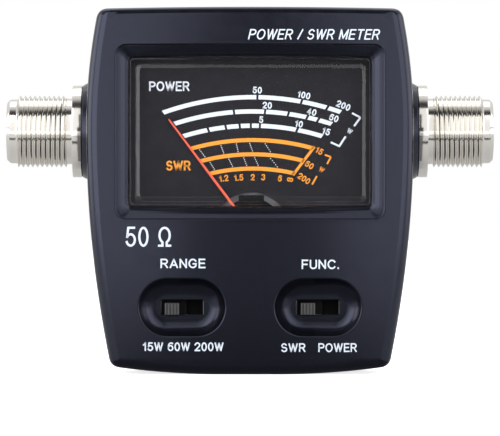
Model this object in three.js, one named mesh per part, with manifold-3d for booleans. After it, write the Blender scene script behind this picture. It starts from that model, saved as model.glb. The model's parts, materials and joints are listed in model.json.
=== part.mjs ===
// SWR and power meter for a radio feed line: a moulded case with a moving-coil meter, two
// slide switches and a coaxial socket on each side, with its inner works.
//
// Millimetres, +Z up, +X to the right as the dial is read, and the dial faces -Y.
// The origin is the middle of the footprint, on the surface that the case stands on.
import * as THREE from 'three';
import { mergeVertices } from 'three/addons/utils/BufferGeometryUtils.js';
import Module from 'manifold-3d';

const wasm = await Module();
wasm.setup();

// ---------------------------------------------------------------- driving dimensions

const HALF_WIDTH = 36; // of the case, at its widest
const HEIGHT = 80.6;
const DEPTH = 33;
const FRONT_Y = -DEPTH / 2;
const BACK_Y = DEPTH / 2;
const WALL = 2.2;
const INNER_FRONT_Y = FRONT_Y + 2.6; // the front wall's flat inner face
const INNER_BACK_Y = BACK_Y - WALL;
const PART_Y = 2; // the two shells meet here, on the sockets' axis
const SEAM = 0.25; // shadow gap between the shells
const CLEAR = 0.1; // gap round a piece that sits in a hole

const WIDEST_Z = 54;
const UPPER_BULGE = 130; // radii of the sides above and below the widest level
const LOWER_BULGE = 253;
const BOTTOM_BOW = 175;
const TOP_BOW = 1650;
const FOOT_HALF = 6; // the flat middle of the bottom
const LOW_CORNER = 1.9; // legs of the outline's rounded corners
const HIGH_CORNER = 2.2;
const LEAST_CORNER = 0.3;
const CROWN_RADIUS = 400; // the front face bows out sideways
const FRONT_EDGE = 2.4; // roundings where the faces meet the sides
const BACK_EDGE = 2;
const EDGE_STEPS = 4;

const SOCKET_Z = 53.6; // both coaxial sockets lie on this axis, along X
const SOCKET_HOLE = 6.2;

// the meter: its pivot, its window and its dial
const METER_X = 0.3;
const PIVOT_Z = 31.7;
const REST_ANGLE = THREE.MathUtils.degToRad(36.8); // the needle rests this far left of upright
const WINDOW_Z = 53;
const WINDOW = { halfWidth: 26.6, halfHeight: 16.1 }; // the opening in the case
const RECESS = { halfWidth: 29.5, halfHeight: 19, depth: 3, corner: 2.5 };
const DIAL_Y = -8.6; // the dial's front face
const NEEDLE_Y = -9.5; // the needle's front face, ahead of the dial

// the two slide switches
const SWITCH_X = 14.9;
const SWITCH_Z = 14.7;
const DISH = { halfWidth: 9.55, halfHeight: 6.35, depth: 2.6, slope: 3.45 };
const SLOT = { halfWidth: 4.7, halfHeight: 1.65 };
const SWITCH_TRAVEL = 4.4;
const BOARD_Y = -6.4; // the control board's front face
const BOARD_THICKNESS = 1.6;

// ---------------------------------------------------------------- materials

function material(color, roughness, metalness = 0) {
  return new THREE.MeshStandardMaterial({ color, roughness, metalness });
}

const casePlastic = material(0x23262f, 0.5);
const innerPlastic = material(0x16171a, 0.55);
const clearPlastic = material(0xe8ecf0, 0.05);
clearPlastic.transparent = true;
clearPlastic.opacity = 0.2;
const dialPaint = material(0x232228, 0.6);
const needlePaint = material(0xe0452f, 0.4);
const nickel = material(0xcfcbc2, 0.22, 1);
const zincSteel = material(0xb4b6b8, 0.35, 1);
const brass = material(0xc7a35a, 0.3, 1);
const softIron = material(0x3b3c3f, 0.5, 0.8);
const copper = material(0xb8693d, 0.35, 0.9);
const whiteInsulator = material(0xeeece6, 0.5);
const boardGreen = material(0x1f5a3a, 0.45);
const trimmerBlue = material(0x2b5fa8, 0.4);
const glassBead = material(0xc8662a, 0.15);
const redWire = material(0xb3261e, 0.5);
const blackWire = material(0x141414, 0.5);

// ---------------------------------------------------------------- solids

function toSolid(geometry) {
  const bare = new THREE.BufferGeometry().setAttribute('position', geometry.getAttribute('position'));
  if (geometry.index) bare.setIndex(geometry.index);
  const merged = mergeVertices(bare, 1e-4);
  const mesh = new wasm.Mesh({
    numProp: 3,
    vertProperties: merged.attributes.position.array,
    triVerts: new Uint32Array(merged.index.array),
  });
  return new wasm.Manifold(mesh);
}

function toGeometry(solid) {
  const mesh = solid.getMesh();
  const geometry = new THREE.BufferGeometry();
  geometry.setAttribute('position', new THREE.BufferAttribute(mesh.vertProperties, 3));
  geometry.setIndex(new THREE.BufferAttribute(mesh.triVerts, 1));
  const flat = geometry.toNonIndexed();
  flat.computeVertexNormals();
  return flat;
}

function join(...solids) {
  return solids.reduce((sum, next) => sum.add(next));
}

function cut(solid, ...tools) {
  return tools.reduce((left, tool) => left.subtract(tool), solid);
}

function box(x0, x1, y0, y1, z0, z1) {
  const geometry = new THREE.BoxGeometry(x1 - x0, y1 - y0, z1 - z0);
  return toSolid(geometry.translate((x0 + x1) / 2, (y0 + y1) / 2, (z0 + z1) / 2));
}

// A turned piece: `profile` lists [radius, height] up the axis, which then becomes +X, +Y or +Z.
function turned(profile, axis, centre, segments = 20) {
  const points = profile.map(([radius, height]) => new THREE.Vector2(radius, height));
  const geometry = new THREE.LatheGeometry(points, segments);
  if (axis === 'x') geometry.rotateZ(-Math.PI / 2);
  if (axis === 'z') geometry.rotateX(Math.PI / 2);
  return toSolid(geometry.translate(...centre));
}

// A plain rod along an axis, from one coordinate to another, through the two others in `centre`.
function rod(axis, radius, from, to, centre, segments = 20) {
  return turned([[0, from], [radius, from], [radius, to], [0, to]], axis, centre, segments);
}

// The same rod with a hole through it.
function tube(axis, radius, hole, from, to, centre, segments = 20) {
  const profile = [[hole, from], [radius, from], [radius, to], [hole, to], [hole, from]];
  return turned(profile, axis, centre, segments);
}

// Lifts a flat outline of (x, z) points to depth y, which may depend on x.
function ring(outline, y) {
  return outline.map((p) => new THREE.Vector3(p.x, typeof y === 'function' ? y(p.x) : y, p.y));
}

// A closed solid through rings of equally many points, listed from the back to the front.
function loft(rings) {
  const count = rings[0].length;
  const index = [];
  for (let level = 0; level + 1 < rings.length; level++) {
    for (let i = 0; i < count; i++) {
      const j = (i + 1) % count;
      const back = level * count;
      const front = back + count;
      index.push(back + i, back + j, front + j, back + i, front + j, front + i);
    }
  }
  const cap = (points, first, turn) => {
    const flat = points.map((p) => new THREE.Vector2(p.x, p.z));
    for (const [a, b, c] of THREE.ShapeUtils.triangulateShape(flat, [])) {
      index.push(first + a, first + (turn ? c : b), first + (turn ? b : c));
    }
  };
  cap(rings[0], 0, true);
  cap(rings.at(-1), count * (rings.length - 1), false);
  const geometry = new THREE.BufferGeometry();
  const positions = rings.flat().flatMap((p) => [p.x, p.y, p.z]);
  geometry.setAttribute('position', new THREE.Float32BufferAttribute(positions, 3));
  geometry.setIndex(index);
  return toSolid(geometry);
}

// An outline carried straight from y1, its back, to y0, its front.
function prism(outline, y0, y1) {
  return loft([ring(outline, y1), ring(outline, y0)]);
}

function spread(from, to, count) {
  return Array.from({ length: count }, (_, i) => from + ((to - from) * i) / (count - 1));
}

function roundedRect(halfWidth, halfHeight, radius, centreX, centreZ, steps = 4) {
  const points = [];
  for (const [sx, sz, start] of [[1, -1, -90], [1, 1, 0], [-1, 1, 90], [-1, -1, 180]]) {
    for (const turn of spread(start, start + 90, steps + 1)) {
      const angle = THREE.MathUtils.degToRad(turn);
      const x = centreX + sx * (halfWidth - radius) + radius * Math.cos(angle);
      const z = centreZ + sz * (halfHeight - radius) + radius * Math.sin(angle);
      points.push(new THREE.Vector2(x, z));
    }
  }
  return points.filter((p, i) => p.distanceTo(points.at(i - 1)) > 1e-6);
}

// ---------------------------------------------------------------- the case

function crown(x) {
  return x ** 2 / (2 * CROWN_RADIUS);
}

// The case seen from the front, shrunk evenly by `inset`: a flat foot, a bowed bottom, sides that
// bulge most near the sockets, and a nearly straight top.
function caseOutline(inset = 0) {
  const sideX = (z) => {
    const bulge = z > WIDEST_Z ? UPPER_BULGE : LOWER_BULGE;
    return HALF_WIDTH - inset - (z - WIDEST_Z) ** 2 / (2 * bulge);
  };
  const floorZ = (x) => inset + Math.max(0, x - FOOT_HALF) ** 2 / (2 * BOTTOM_BOW);
  const roofZ = (x) => HEIGHT - inset - x ** 2 / (2 * TOP_BOW);
  const cornerOf = (edgeZ) => {
    let x = HALF_WIDTH;
    for (let pass = 0; pass < 8; pass++) x = sideX(edgeZ(x));
    return new THREE.Vector2(x, edgeZ(x));
  };
  const low = cornerOf(floorZ);
  const high = cornerOf(roofZ);
  const lowLeg = Math.max(LOW_CORNER - inset, LEAST_CORNER);
  const highLeg = Math.max(HIGH_CORNER - inset, LEAST_CORNER);
  const along = (values, pointAt) => values.map(pointAt);
  const floor = along(spread(FOOT_HALF, low.x - lowLeg, 5), (x) => new THREE.Vector2(x, floorZ(x)));
  const side = along(
    spread(low.y + lowLeg, high.y - highLeg, 12),
    (z) => new THREE.Vector2(sideX(z), z),
  );
  const roof = along(spread(high.x - highLeg, FOOT_HALF, 3), (x) => new THREE.Vector2(x, roofZ(x)));
  const lowBend = new THREE.QuadraticBezierCurve(floor.at(-1), low, side[0]);
  const highBend = new THREE.QuadraticBezierCurve(side.at(-1), high, roof[0]);
  const right = [
    ...floor,
    ...lowBend.getPoints(4).slice(1, -1),
    ...side,
    ...highBend.getPoints(4).slice(1, -1),
    ...roof,
  ];
  const left = right.map((p) => new THREE.Vector2(-p.x, p.y)).reverse();
  return [...right, ...left];
}

// The steps of a rounded edge, from the face to the side: how far in, and how far back.
function edgeSteps(radius) {
  return spread(0, Math.PI / 2, EDGE_STEPS + 1).map((angle) => ({
    inset: radius * (1 - Math.sin(angle)),
    drop: radius * (1 - Math.cos(angle)),
  }));
}

function crownedBlock() {
  const shape = new THREE.Shape();
  const half = HALF_WIDTH + 6;
  shape.moveTo(-half, BACK_Y + 1);
  shape.lineTo(half, BACK_Y + 1);
  for (const x of spread(half, -half, 29)) shape.lineTo(x, FRONT_Y + crown(x));
  const geometry = new THREE.ExtrudeGeometry(shape, { depth: HEIGHT + 4, bevelEnabled: false });
  return toSolid(geometry.translate(0, 0, -2));
}

const BOSS = { face: 37.3, root: 34.5, faceRadius: 10.2, rootRadius: 11.6 };

function socketBoss(side) {
  const profile = [
    [0, BOSS.root],
    [BOSS.rootRadius, BOSS.root],
    [BOSS.faceRadius, BOSS.face],
    [0, BOSS.face],
  ];
  const boss = turned(profile, 'x', [0, PART_Y, SOCKET_Z], 36);
  return side > 0 ? boss : boss.mirror([1, 0, 0]);
}

function solidCase() {
  const back = edgeSteps(BACK_EDGE).map((s) => ring(caseOutline(s.inset), BACK_Y - s.drop));
  const front = edgeSteps(FRONT_EDGE)
    .reverse()
    .map((s) => ring(caseOutline(s.inset), (x) => FRONT_Y + crown(x) + s.drop));
  const past = ring(caseOutline(FRONT_EDGE), FRONT_Y - 1);
  const block = loft([...back, ...front, past]).intersect(crownedBlock());
  return join(block, socketBoss(1), socketBoss(-1));
}

const POSTS = [
  [-28.6, 74.4],
  [28.6, 74.4],
  [-26, 6.8],
  [26, 6.8],
];
const SCREW = { radius: 1.3, head: 2.7, headThickness: 1.5, recess: 2, tipY: -6 };
const BOARD_POSTS = [
  [0, 5.9],
  [0, 17.6],
];
const METER_POSTS = [
  [-16, 26.5],
  [16, 26.5],
];

function hollow() {
  return prism(caseOutline(WALL), INNER_FRONT_Y, INNER_BACK_Y);
}

// The window's well: straight through the wall, then sloping out to the face.
function recessCut() {
  const inner = roundedRect(WINDOW.halfWidth, WINDOW.halfHeight, 1, 0, WINDOW_Z);
  const outer = roundedRect(RECESS.halfWidth, RECESS.halfHeight, RECESS.corner, 0, WINDOW_Z);
  return loft([
    ring(inner, INNER_FRONT_Y + 5),
    ring(inner, FRONT_Y + RECESS.depth),
    ring(outer, (x) => FRONT_Y + crown(x)),
    ring(outer, FRONT_Y - 2),
  ]);
}

// A finger dish: steep at its rim and flat round the switch's slot.
function dishCut(centreX) {
  const faceY = FRONT_Y + crown(centreX);
  const outline = (inset) => {
    const halfHeight = DISH.halfHeight - inset;
    return roundedRect(DISH.halfWidth - inset, halfHeight, halfHeight, centreX, SWITCH_Z, 5);
  };
  const bowl = spread(Math.PI / 2, 0, 5).map((angle) =>
    ring(outline(DISH.slope * (1 - Math.cos(angle))), faceY + DISH.depth * Math.sin(angle)),
  );
  return loft([...bowl, ring(outline(0), FRONT_Y - 2)]);
}

function slotCut(centreX) {
  return box(
    centreX - SLOT.halfWidth,
    centreX + SLOT.halfWidth,
    FRONT_Y - 1,
    PART_Y,
    SWITCH_Z - SLOT.halfHeight,
    SWITCH_Z + SLOT.halfHeight,
  );
}

const WINDOW_RIB_Y = FRONT_Y + 4.3; // back of the rib that the window's flange rests on
const DISH_PAD_Y = FRONT_Y + 4.6; // back of the thickening behind each dish
const METER_FRONT_Y = -10.8; // front of the meter's own case

function socketHoles() {
  return rod('x', SOCKET_HOLE, -HALF_WIDTH - 5, HALF_WIDTH + 5, [0, PART_Y, SOCKET_Z], 32);
}

function frontShell() {
  const walls = cut(solidCase(), hollow());
  const rib = prism(
    roundedRect(WINDOW.halfWidth + 3.4, WINDOW.halfHeight + 2.6, 1.5, 0, WINDOW_Z),
    INNER_FRONT_Y - 0.5,
    WINDOW_RIB_Y,
  );
  const pads = [-SWITCH_X, SWITCH_X].map((x) =>
    prism(
      roundedRect(DISH.halfWidth - 0.6, DISH.halfHeight - 0.6, DISH.halfHeight - 0.6, x, SWITCH_Z),
      INNER_FRONT_Y - 0.5,
      DISH_PAD_Y,
    ),
  );
  const post = ([x, z], radius, y1) => rod('y', radius, INNER_FRONT_Y - 0.5, y1, [x, 0, z]);
  const posts = [
    ...POSTS.map((at) => post(at, 2.8, PART_Y)),
    ...BOARD_POSTS.map((at) => post(at, 2.2, BOARD_Y - CLEAR)),
    ...METER_POSTS.map((at) => post(at, 2.4, METER_FRONT_Y - CLEAR)),
  ];
  const pilot = ([x, z], radius, y0) => rod('y', radius, y0, PART_Y + 1, [x, 0, z], 12);
  const pilots = [
    ...POSTS.map((at) => pilot(at, SCREW.radius + CLEAR, SCREW.tipY - 1)),
    ...BOARD_POSTS.map((at) => pilot(at, 1, BOARD_Y - 5)),
    ...METER_POSTS.map((at) => pilot(at, 1, METER_FRONT_Y - 2.6)),
  ];
  const behindSeam = box(-60, 60, PART_Y, BACK_Y + 5, -5, HEIGHT + 5);
  const shell = join(walls, rib, ...pads, ...posts);
  return cut(
    shell,
    recessCut(),
    dishCut(-SWITCH_X),
    dishCut(SWITCH_X),
    slotCut(-SWITCH_X),
    slotCut(SWITCH_X),
    ...pilots,
    socketHoles(),
    behindSeam,
  );
}

function rearShell() {
  const seamY = PART_Y + SEAM;
  const walls = cut(solidCase(), hollow());
  const sleeves = POSTS.map(([x, z]) => rod('y', 3.6, seamY, BACK_Y - 1, [x, 0, z]));
  const holes = POSTS.map(([x, z]) => rod('y', SCREW.radius + 0.3, FRONT_Y, BACK_Y + 1, [x, 0, z], 16));
  const seats = POSTS.map(([x, z]) =>
    rod('y', SCREW.head + 0.3, BACK_Y - SCREW.recess, BACK_Y + 1, [x, 0, z], 24),
  );
  const aheadOfSeam = box(-60, 60, FRONT_Y - 5, seamY, -5, HEIGHT + 5);
  return cut(join(walls, ...sleeves), ...holes, ...seats, socketHoles(), aheadOfSeam);
}

// A pan-head screw along Y with a cross recess; `facing` is +1 if its head looks to +Y.
function screw(headY, facing, shank, head, thickness, tipY, [x, z]) {
  const outer = headY + facing * thickness;
  const shankRod = rod('y', shank, Math.min(headY, tipY), Math.max(headY, tipY), [x, 0, z], 12);
  const headRod = rod('y', head, Math.min(headY, outer), Math.max(headY, outer), [x, 0, z], 16);
  const reach = head * 0.6;
  const blade = head * 0.13;
  const [y0, y1] = [outer - facing * thickness * 0.55, outer + facing].sort((a, b) => a - b);
  const crossCut = join(
    box(x - reach, x + reach, y0, y1, z - blade, z + blade),
    box(x - blade, x + blade, y0, y1, z - reach, z + reach),
  );
  return cut(join(shankRod, headRod), crossCut);
}

// ---------------------------------------------------------------- the coaxial sockets

const SOCKET = {
  flangeRadius: 10.2,
  flangeEnd: BOSS.face + 2.1,
  neckRadius: 7.35,
  neckEnd: BOSS.face + 3.1,
  threadRadius: 7.94,
  threadRoot: 7.3,
  pitch: 25.4 / 24,
  threads: 10,
  tipRadius: 7.1,
  tipEnd: 54,
  bore: 5.4,
  innerEnd: 30,
  shankRadius: 6,
};

// A solid made for the right-hand socket, or its mirror image for the left-hand one.
function onSide(side, solid) {
  return side > 0 ? solid : solid.mirror([1, 0, 0]);
}

const SOCKET_AXIS = [0, PART_Y, SOCKET_Z];

function socketBody(side) {
  const profile = [
    [SOCKET.bore, SOCKET.innerEnd],
    [SOCKET.shankRadius, SOCKET.innerEnd],
    [SOCKET.shankRadius, BOSS.face],
    [SOCKET.flangeRadius, BOSS.face],
    [SOCKET.flangeRadius, SOCKET.flangeEnd - 0.3],
    [SOCKET.flangeRadius - 0.3, SOCKET.flangeEnd],
    [SOCKET.neckRadius, SOCKET.flangeEnd],
    [SOCKET.neckRadius, SOCKET.neckEnd],
  ];
  for (let i = 0; i < SOCKET.threads; i++) {
    const start = SOCKET.neckEnd + 0.3 + i * SOCKET.pitch;
    profile.push([SOCKET.threadRoot, start], [SOCKET.threadRadius, start + SOCKET.pitch / 2]);
  }
  profile.push(
    [SOCKET.threadRoot, SOCKET.neckEnd + 0.3 + SOCKET.threads * SOCKET.pitch],
    [SOCKET.tipRadius, SOCKET.tipEnd - 2.4],
    [SOCKET.tipRadius, SOCKET.tipEnd - 0.5],
    [SOCKET.tipRadius - 0.5, SOCKET.tipEnd],
    [SOCKET.bore, SOCKET.tipEnd],
    [SOCKET.bore, SOCKET.innerEnd],
  );
  const body = turned(profile, 'x', SOCKET_AXIS, 24);
  const notchHalf = 0.8;
  const notches = join(
    box(SOCKET.tipEnd - 1, 60, PART_Y - 9, PART_Y + 9, SOCKET_Z - notchHalf, SOCKET_Z + notchHalf),
    box(SOCKET.tipEnd - 1, 60, PART_Y - notchHalf, PART_Y + notchHalf, SOCKET_Z - 9, SOCKET_Z + 9),
  );
  return onSide(side, cut(body, notches));
}

const CONTACT = { radius: 2.6, bore: 2, front: SOCKET.tipEnd - 1.1, cupRadius: 1.5, rear: 25 };

function socketInsulator(side) {
  const outer = SOCKET.bore - CLEAR;
  return onSide(side, tube('x', outer, CONTACT.radius + CLEAR, 29.4, SOCKET.tipEnd - 1.3, SOCKET_AXIS, 24));
}

function socketContact(side) {
  const profile = [
    [0, CONTACT.rear],
    [CONTACT.cupRadius, CONTACT.rear],
    [CONTACT.cupRadius, 29],
    [CONTACT.radius, 29],
    [CONTACT.radius, CONTACT.front],
    [CONTACT.bore, CONTACT.front],
    [CONTACT.bore, CONTACT.front - 12],
    [0, CONTACT.front - 12],
  ];
  return onSide(side, turned(profile, 'x', SOCKET_AXIS, 20));
}

const EAR = { inner: 32.2, outer: 33.2 }; // the chassis ears that the sockets are bolted to

function socketNut(side) {
  const acrossCorners = 9.2;
  const hex = rod('x', acrossCorners, EAR.inner - 2.7, EAR.inner - CLEAR, SOCKET_AXIS, 6);
  const hole = rod('x', SOCKET.shankRadius + CLEAR, 25, 40, SOCKET_AXIS, 28);
  return onSide(side, cut(hex, hole));
}

// ---------------------------------------------------------------- the line coupler

const COUPLER = { halfLength: 23.5, frontY: 6.4, backY: 8, low: 44.6, high: 62.6 };
const CHASSIS = { frontY: -4, plateY: 12.2, backY: 13.2, low: 44, high: 63.2 };
const COUPLER_STUDS = [
  [-20, 59.6],
  [20, 59.6],
];

function couplerChassis() {
  const { frontY, plateY, backY, low, high } = CHASSIS;
  const studs = COUPLER_STUDS.map(([x, z]) => rod('y', 2, COUPLER.backY + 0.05, plateY + 0.5, [x, 0, z], 16));
  const bores = COUPLER_STUDS.map(([x, z]) => rod('y', 1, 0, BACK_Y, [x, 0, z], 12));
  const solid = join(
    box(-EAR.outer, EAR.outer, plateY, backY, low, high),
    box(EAR.inner, EAR.outer, frontY, backY, low, high),
    box(-EAR.outer, -EAR.inner, frontY, backY, low, high),
    ...studs,
  );
  return cut(solid, ...bores, socketHoles());
}

function couplerBoard() {
  const { halfLength, frontY, backY, low, high } = COUPLER;
  const holes = COUPLER_STUDS.map(([x, z]) => rod('y', 1.2, frontY - 1, backY + 1, [x, 0, z], 12));
  return cut(box(-halfLength, halfLength, frontY, backY, low, high), ...holes);
}

function senseLine(offsetZ) {
  const radius = 0.5;
  const reach = 14;
  const lineY = 4.4;
  const z = SOCKET_Z + offsetZ;
  const legs = [-reach, reach].map((x) => rod('y', radius, lineY, COUPLER.frontY, [x, 0, z], 10));
  return join(rod('x', radius, -reach - radius, reach + radius, [0, lineY, z], 10), ...legs);
}

// A small axial component lying on the coupler board, its leads along Z.
function axialPart(x, z, radius, halfLength) {
  const lead = 0.25;
  const profile = [
    [0, -halfLength - 1.2],
    [lead, -halfLength - 1.2],
    [lead, -halfLength],
    [radius, -halfLength],
    [radius, halfLength],
    [lead, halfLength],
    [lead, halfLength + 1.2],
    [0, halfLength + 1.2],
  ];
  return turned(profile, 'z', [x, COUPLER.frontY - radius - CLEAR, z], 12);
}

// ---------------------------------------------------------------- the meter

const METER_CASE = { halfWidth: 28.3, low: 34.8, high: 71, floorY: -6.8, wall: 1.2 };
const WELL = { halfWidth: 12.4, low: 20.8, high: 43.4, backY: 6.8 };
const YOKE = { outer: 9.6, inner: 7.1, frontY: -5.5, backY: 1.5 };
const CUTOUT_RADIUS = 8.2; // the dial's clearance round the moving coil
const BRIDGE_REACH = 8.35; // the bridges' screws, out from the pivot

const PIVOT = [METER_X, 0, PIVOT_Z];

function meterWindow() {
  const { halfWidth, halfHeight } = WINDOW;
  const gap = 0.2;
  const ledgeY = FRONT_Y + RECESS.depth + 0.3;
  const raised = { halfWidth: 24.35, halfHeight: 14.25, bevel: 0.7, y: ledgeY - 0.8 };
  const flangeY = WINDOW_RIB_Y + 0.2;
  const backY = METER_FRONT_Y - CLEAR;
  const flange = box(
    -METER_CASE.halfWidth,
    METER_CASE.halfWidth,
    flangeY,
    backY,
    METER_CASE.low,
    METER_CASE.high,
  );
  const ledge = prism(
    roundedRect(halfWidth - gap, halfHeight - gap, 0.8, 0, WINDOW_Z),
    ledgeY,
    flangeY + 0.2,
  );
  const plateau = (grow) =>
    roundedRect(raised.halfWidth + grow, raised.halfHeight + grow, 0.4 + grow, METER_X, WINDOW_Z);
  const pane = loft([ring(plateau(raised.bevel), ledgeY + 0.2), ring(plateau(0), raised.y)]);
  const pocket = prism(
    roundedRect(halfWidth - 1.2, halfHeight - 1.2, 0.6, 0, WINDOW_Z),
    ledgeY + 1.5,
    backY + 1,
  );
  return cut(join(flange, ledge, pane), pocket);
}

function meterCase() {
  const { halfWidth, low, high, floorY, wall } = METER_CASE;
  const front = METER_FRONT_Y;
  const ears = METER_POSTS.map(([x, z]) => {
    const tab = box(Math.min(x, 0), Math.max(x, 0), front, front + 1.4, z - 2.6, z + 2.6);
    return join(tab, rod('y', 2.6, front, front + 1.4, [x, 0, z], 16));
  });
  const pads = [-24, 24].flatMap((x) =>
    [38.5, 67].map((z) => rod('y', 1.6, DIAL_Y + 0.6, floorY, [x, 0, z], 10)),
  );
  const outer = join(
    box(-halfWidth, halfWidth, front, floorY + wall, low, high),
    box(-WELL.halfWidth, WELL.halfWidth, front, WELL.backY, WELL.low, WELL.high),
    ...ears,
  );
  const trayPocket = box(-halfWidth + wall, halfWidth - wall, front - 1, floorY, low + wall, high - wall);
  const wellPocket = box(
    -WELL.halfWidth + wall,
    WELL.halfWidth - wall,
    front - 1,
    WELL.backY - wall,
    WELL.low + wall,
    WELL.high - wall,
  );
  const earHoles = METER_POSTS.map(([x, z]) => rod('y', 1.2, front - 1, front + 3, [x, 0, z], 12));
  return cut(join(cut(outer, trayPocket), ...pads), wellPocket, ...earHoles);
}

function movementCover() {
  const { halfWidth, low } = WELL;
  return box(-halfWidth, halfWidth, METER_FRONT_Y - 1.2, METER_FRONT_Y - CLEAR, low, METER_CASE.low - 0.2);
}

function dialPlate() {
  const plate = box(-26.9, 26.9, DIAL_Y, DIAL_Y + 0.5, 36.1, 69.6);
  return cut(plate, rod('y', CUTOUT_RADIUS, DIAL_Y - 1, DIAL_Y + 2, PIVOT, 40));
}

function yoke() {
  const body = tube('y', YOKE.outer, YOKE.inner, YOKE.frontY, YOKE.backY, PIVOT, 32);
  const holes = [-BRIDGE_REACH, BRIDGE_REACH].map((x) =>
    rod('y', 0.8, YOKE.frontY - 1, YOKE.frontY + 4, [METER_X + x, 0, PIVOT_Z], 10),
  );
  return cut(body, ...holes);
}

const CORE_RADIUS = 4.5;

function core() {
  return rod('y', CORE_RADIUS, YOKE.frontY, YOKE.backY, PIVOT, 28);
}

function coreSupport() {
  const top = PIVOT_Z - CORE_RADIUS - 0.15;
  const bottom = PIVOT_Z - YOKE.inner + 0.25;
  return box(METER_X - 1.2, METER_X + 1.2, YOKE.frontY + 1, YOKE.backY - 1, bottom, top);
}

// A bar across the yoke that carries one jewel, standing on two legs.
function bridge(barFrontY, barBackY, yokeFaceY) {
  const halfHeight = 1.8;
  const bar = box(
    METER_X - BRIDGE_REACH - 1.4,
    METER_X + BRIDGE_REACH + 1.4,
    barFrontY,
    barBackY,
    PIVOT_Z - halfHeight,
    PIVOT_Z + halfHeight,
  );
  const isFront = barBackY < yokeFaceY;
  const y0 = isFront ? barBackY - 0.2 : yokeFaceY + 0.05;
  const y1 = isFront ? yokeFaceY - 0.05 : barFrontY + 0.2;
  const legs = [-BRIDGE_REACH, BRIDGE_REACH].map((x) => rod('y', 1.3, y0, y1, [METER_X + x, 0, PIVOT_Z], 14));
  const holes = [-BRIDGE_REACH, BRIDGE_REACH].map((x) =>
    rod('y', 0.85, Math.min(y0, barFrontY) - 1, Math.max(y1, barBackY) + 1, [METER_X + x, 0, PIVOT_Z], 10),
  );
  const jewelHole = rod('y', 1, barFrontY - 1, barBackY + 1, PIVOT, 16);
  return cut(join(bar, ...legs), ...holes, jewelHole);
}

const FRONT_BRIDGE = { front: -8.7, back: -7.7 };
const REAR_BRIDGE = { front: 3.8, back: 4.8 };

// The front bridge adds a ring that clears the needle's crank, and a tab that fills the dial's cut-out.
function frontBridge() {
  const { front, back } = FRONT_BRIDGE;
  const guard = tube('y', 6, 4.8, front, back, PIVOT, 32);
  const tab = box(METER_X - 2.8, METER_X + 2.8, front, back, PIVOT_Z + 5.4, PIVOT_Z + 7.6);
  return join(bridge(front, back, YOKE.frontY), guard, tab);
}

// A jewel screw: a slotted head outside its bridge and a plain shank inside.
function jewelScrew(headY, facing, tipY) {
  const outer = headY + facing * 0.35;
  const head = rod('y', 1.3, Math.min(headY, outer), Math.max(headY, outer), PIVOT, 16);
  const shank = rod('y', 0.9, Math.min(headY, tipY), Math.max(headY, tipY), PIVOT, 16);
  const [y0, y1] = [outer - facing * 0.2, outer + facing].sort((a, b) => a - b);
  const slot = box(METER_X - 2, METER_X + 2, y0, y1, PIVOT_Z - 0.15, PIVOT_Z + 0.15);
  return cut(join(head, shank), slot);
}

function meterTag(x) {
  return box(x - 0.8, x + 0.8, WELL.backY + 0.02, WELL.backY + 3, 25.8, 26.3);
}

// ---- the moving system, drawn with the needle upright and the pivot at the origin

const COIL = { half: 6.5, inner: 5.4, frontY: -6.7, backY: 2.7, bar: 0.8, halfWidth: 1 };

function coil() {
  const { half, inner, frontY, backY, bar, halfWidth } = COIL;
  const block = box(-half, half, frontY, backY, -halfWidth, halfWidth);
  return cut(block, box(-inner, inner, frontY + bar, backY - bar, -2, 2));
}

// Half of the pivot staff: a collet for the hairspring and a fine tip. `facing` is -1 at the front.
function pivotTip(startY, tipY, colletY) {
  const sign = Math.sign(tipY - startY);
  const profile = [
    [0, 0],
    [0.35, 0],
    [0.35, Math.abs(colletY - startY)],
    [0.75, Math.abs(colletY - startY)],
    [0.75, Math.abs(colletY - startY) + 0.35],
    [0.35, Math.abs(colletY - startY) + 0.35],
    [0.3, Math.abs(tipY - startY) - 0.2],
    [0, Math.abs(tipY - startY)],
  ];
  const tip = turned(profile, 'y', [0, 0, 0], 12);
  return (sign > 0 ? tip : tip.mirror([0, 1, 0])).translate([0, startY, 0]);
}

// A flat spiral strip in the XZ plane, wound outwards from its collet.
function hairspring(y0, y1) {
  const turns = 3.5;
  const perTurn = 12;
  const spiral = (offset) =>
    spread(0, turns, turns * perTurn + 1).map((turn) => {
      const angle = turn * 2 * Math.PI;
      const radius = 0.95 + turn * 0.55 + offset;
      return new THREE.Vector2(radius * Math.cos(angle), radius * Math.sin(angle));
    });
  return prism([...spiral(0.16), ...spiral(0).reverse()], y0, y1);
}

const NEEDLE = { length: 30.5, rootHalf: 0.36, tipHalf: 0.24, crank: 4, hubY: -7.15, thickness: 0.3 };

function needle() {
  const { length, rootHalf, tipHalf, crank, hubY, thickness } = NEEDLE;
  const hubBack = hubY + thickness;
  const blade = [
    new THREE.Vector2(-rootHalf, crank),
    new THREE.Vector2(rootHalf, crank),
    new THREE.Vector2(tipHalf, length - 0.4),
    new THREE.Vector2(0, length),
    new THREE.Vector2(-tipHalf, length - 0.4),
  ];
  const hub = tube('y', 1.5, 0.45, hubY, hubBack, [0, 0, 0], 16);
  const arm = box(-rootHalf, rootHalf, hubY, hubBack, 1.3, crank + 0.35);
  const step = box(-rootHalf, rootHalf, NEEDLE_Y, hubBack, crank, crank + 0.35);
  const tail = box(-rootHalf, rootHalf, hubY, hubBack, -5.6, -1.3);
  const weight = box(-1.9, 1.9, hubY - 0.2, hubY + 1.25, -6.8, -4);
  return join(prism(blade, NEEDLE_Y, NEEDLE_Y + thickness), hub, arm, step, tail, weight);
}

// ---------------------------------------------------------------- the slide switches and their board

const SLIDER = { halfWidth: 1.65, halfHeight: 1.3, drop: 0.25, topY: FRONT_Y + 0.9, ribs: 5 };
const SLIDER_START = -SWITCH_TRAVEL / 2; // both switches rest at their left-hand stop
const FRAME = { halfWidth: 6.3, halfHeight: 3.2, frontY: DISH_PAD_Y + 0.2, sheet: 0.4 };

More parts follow.
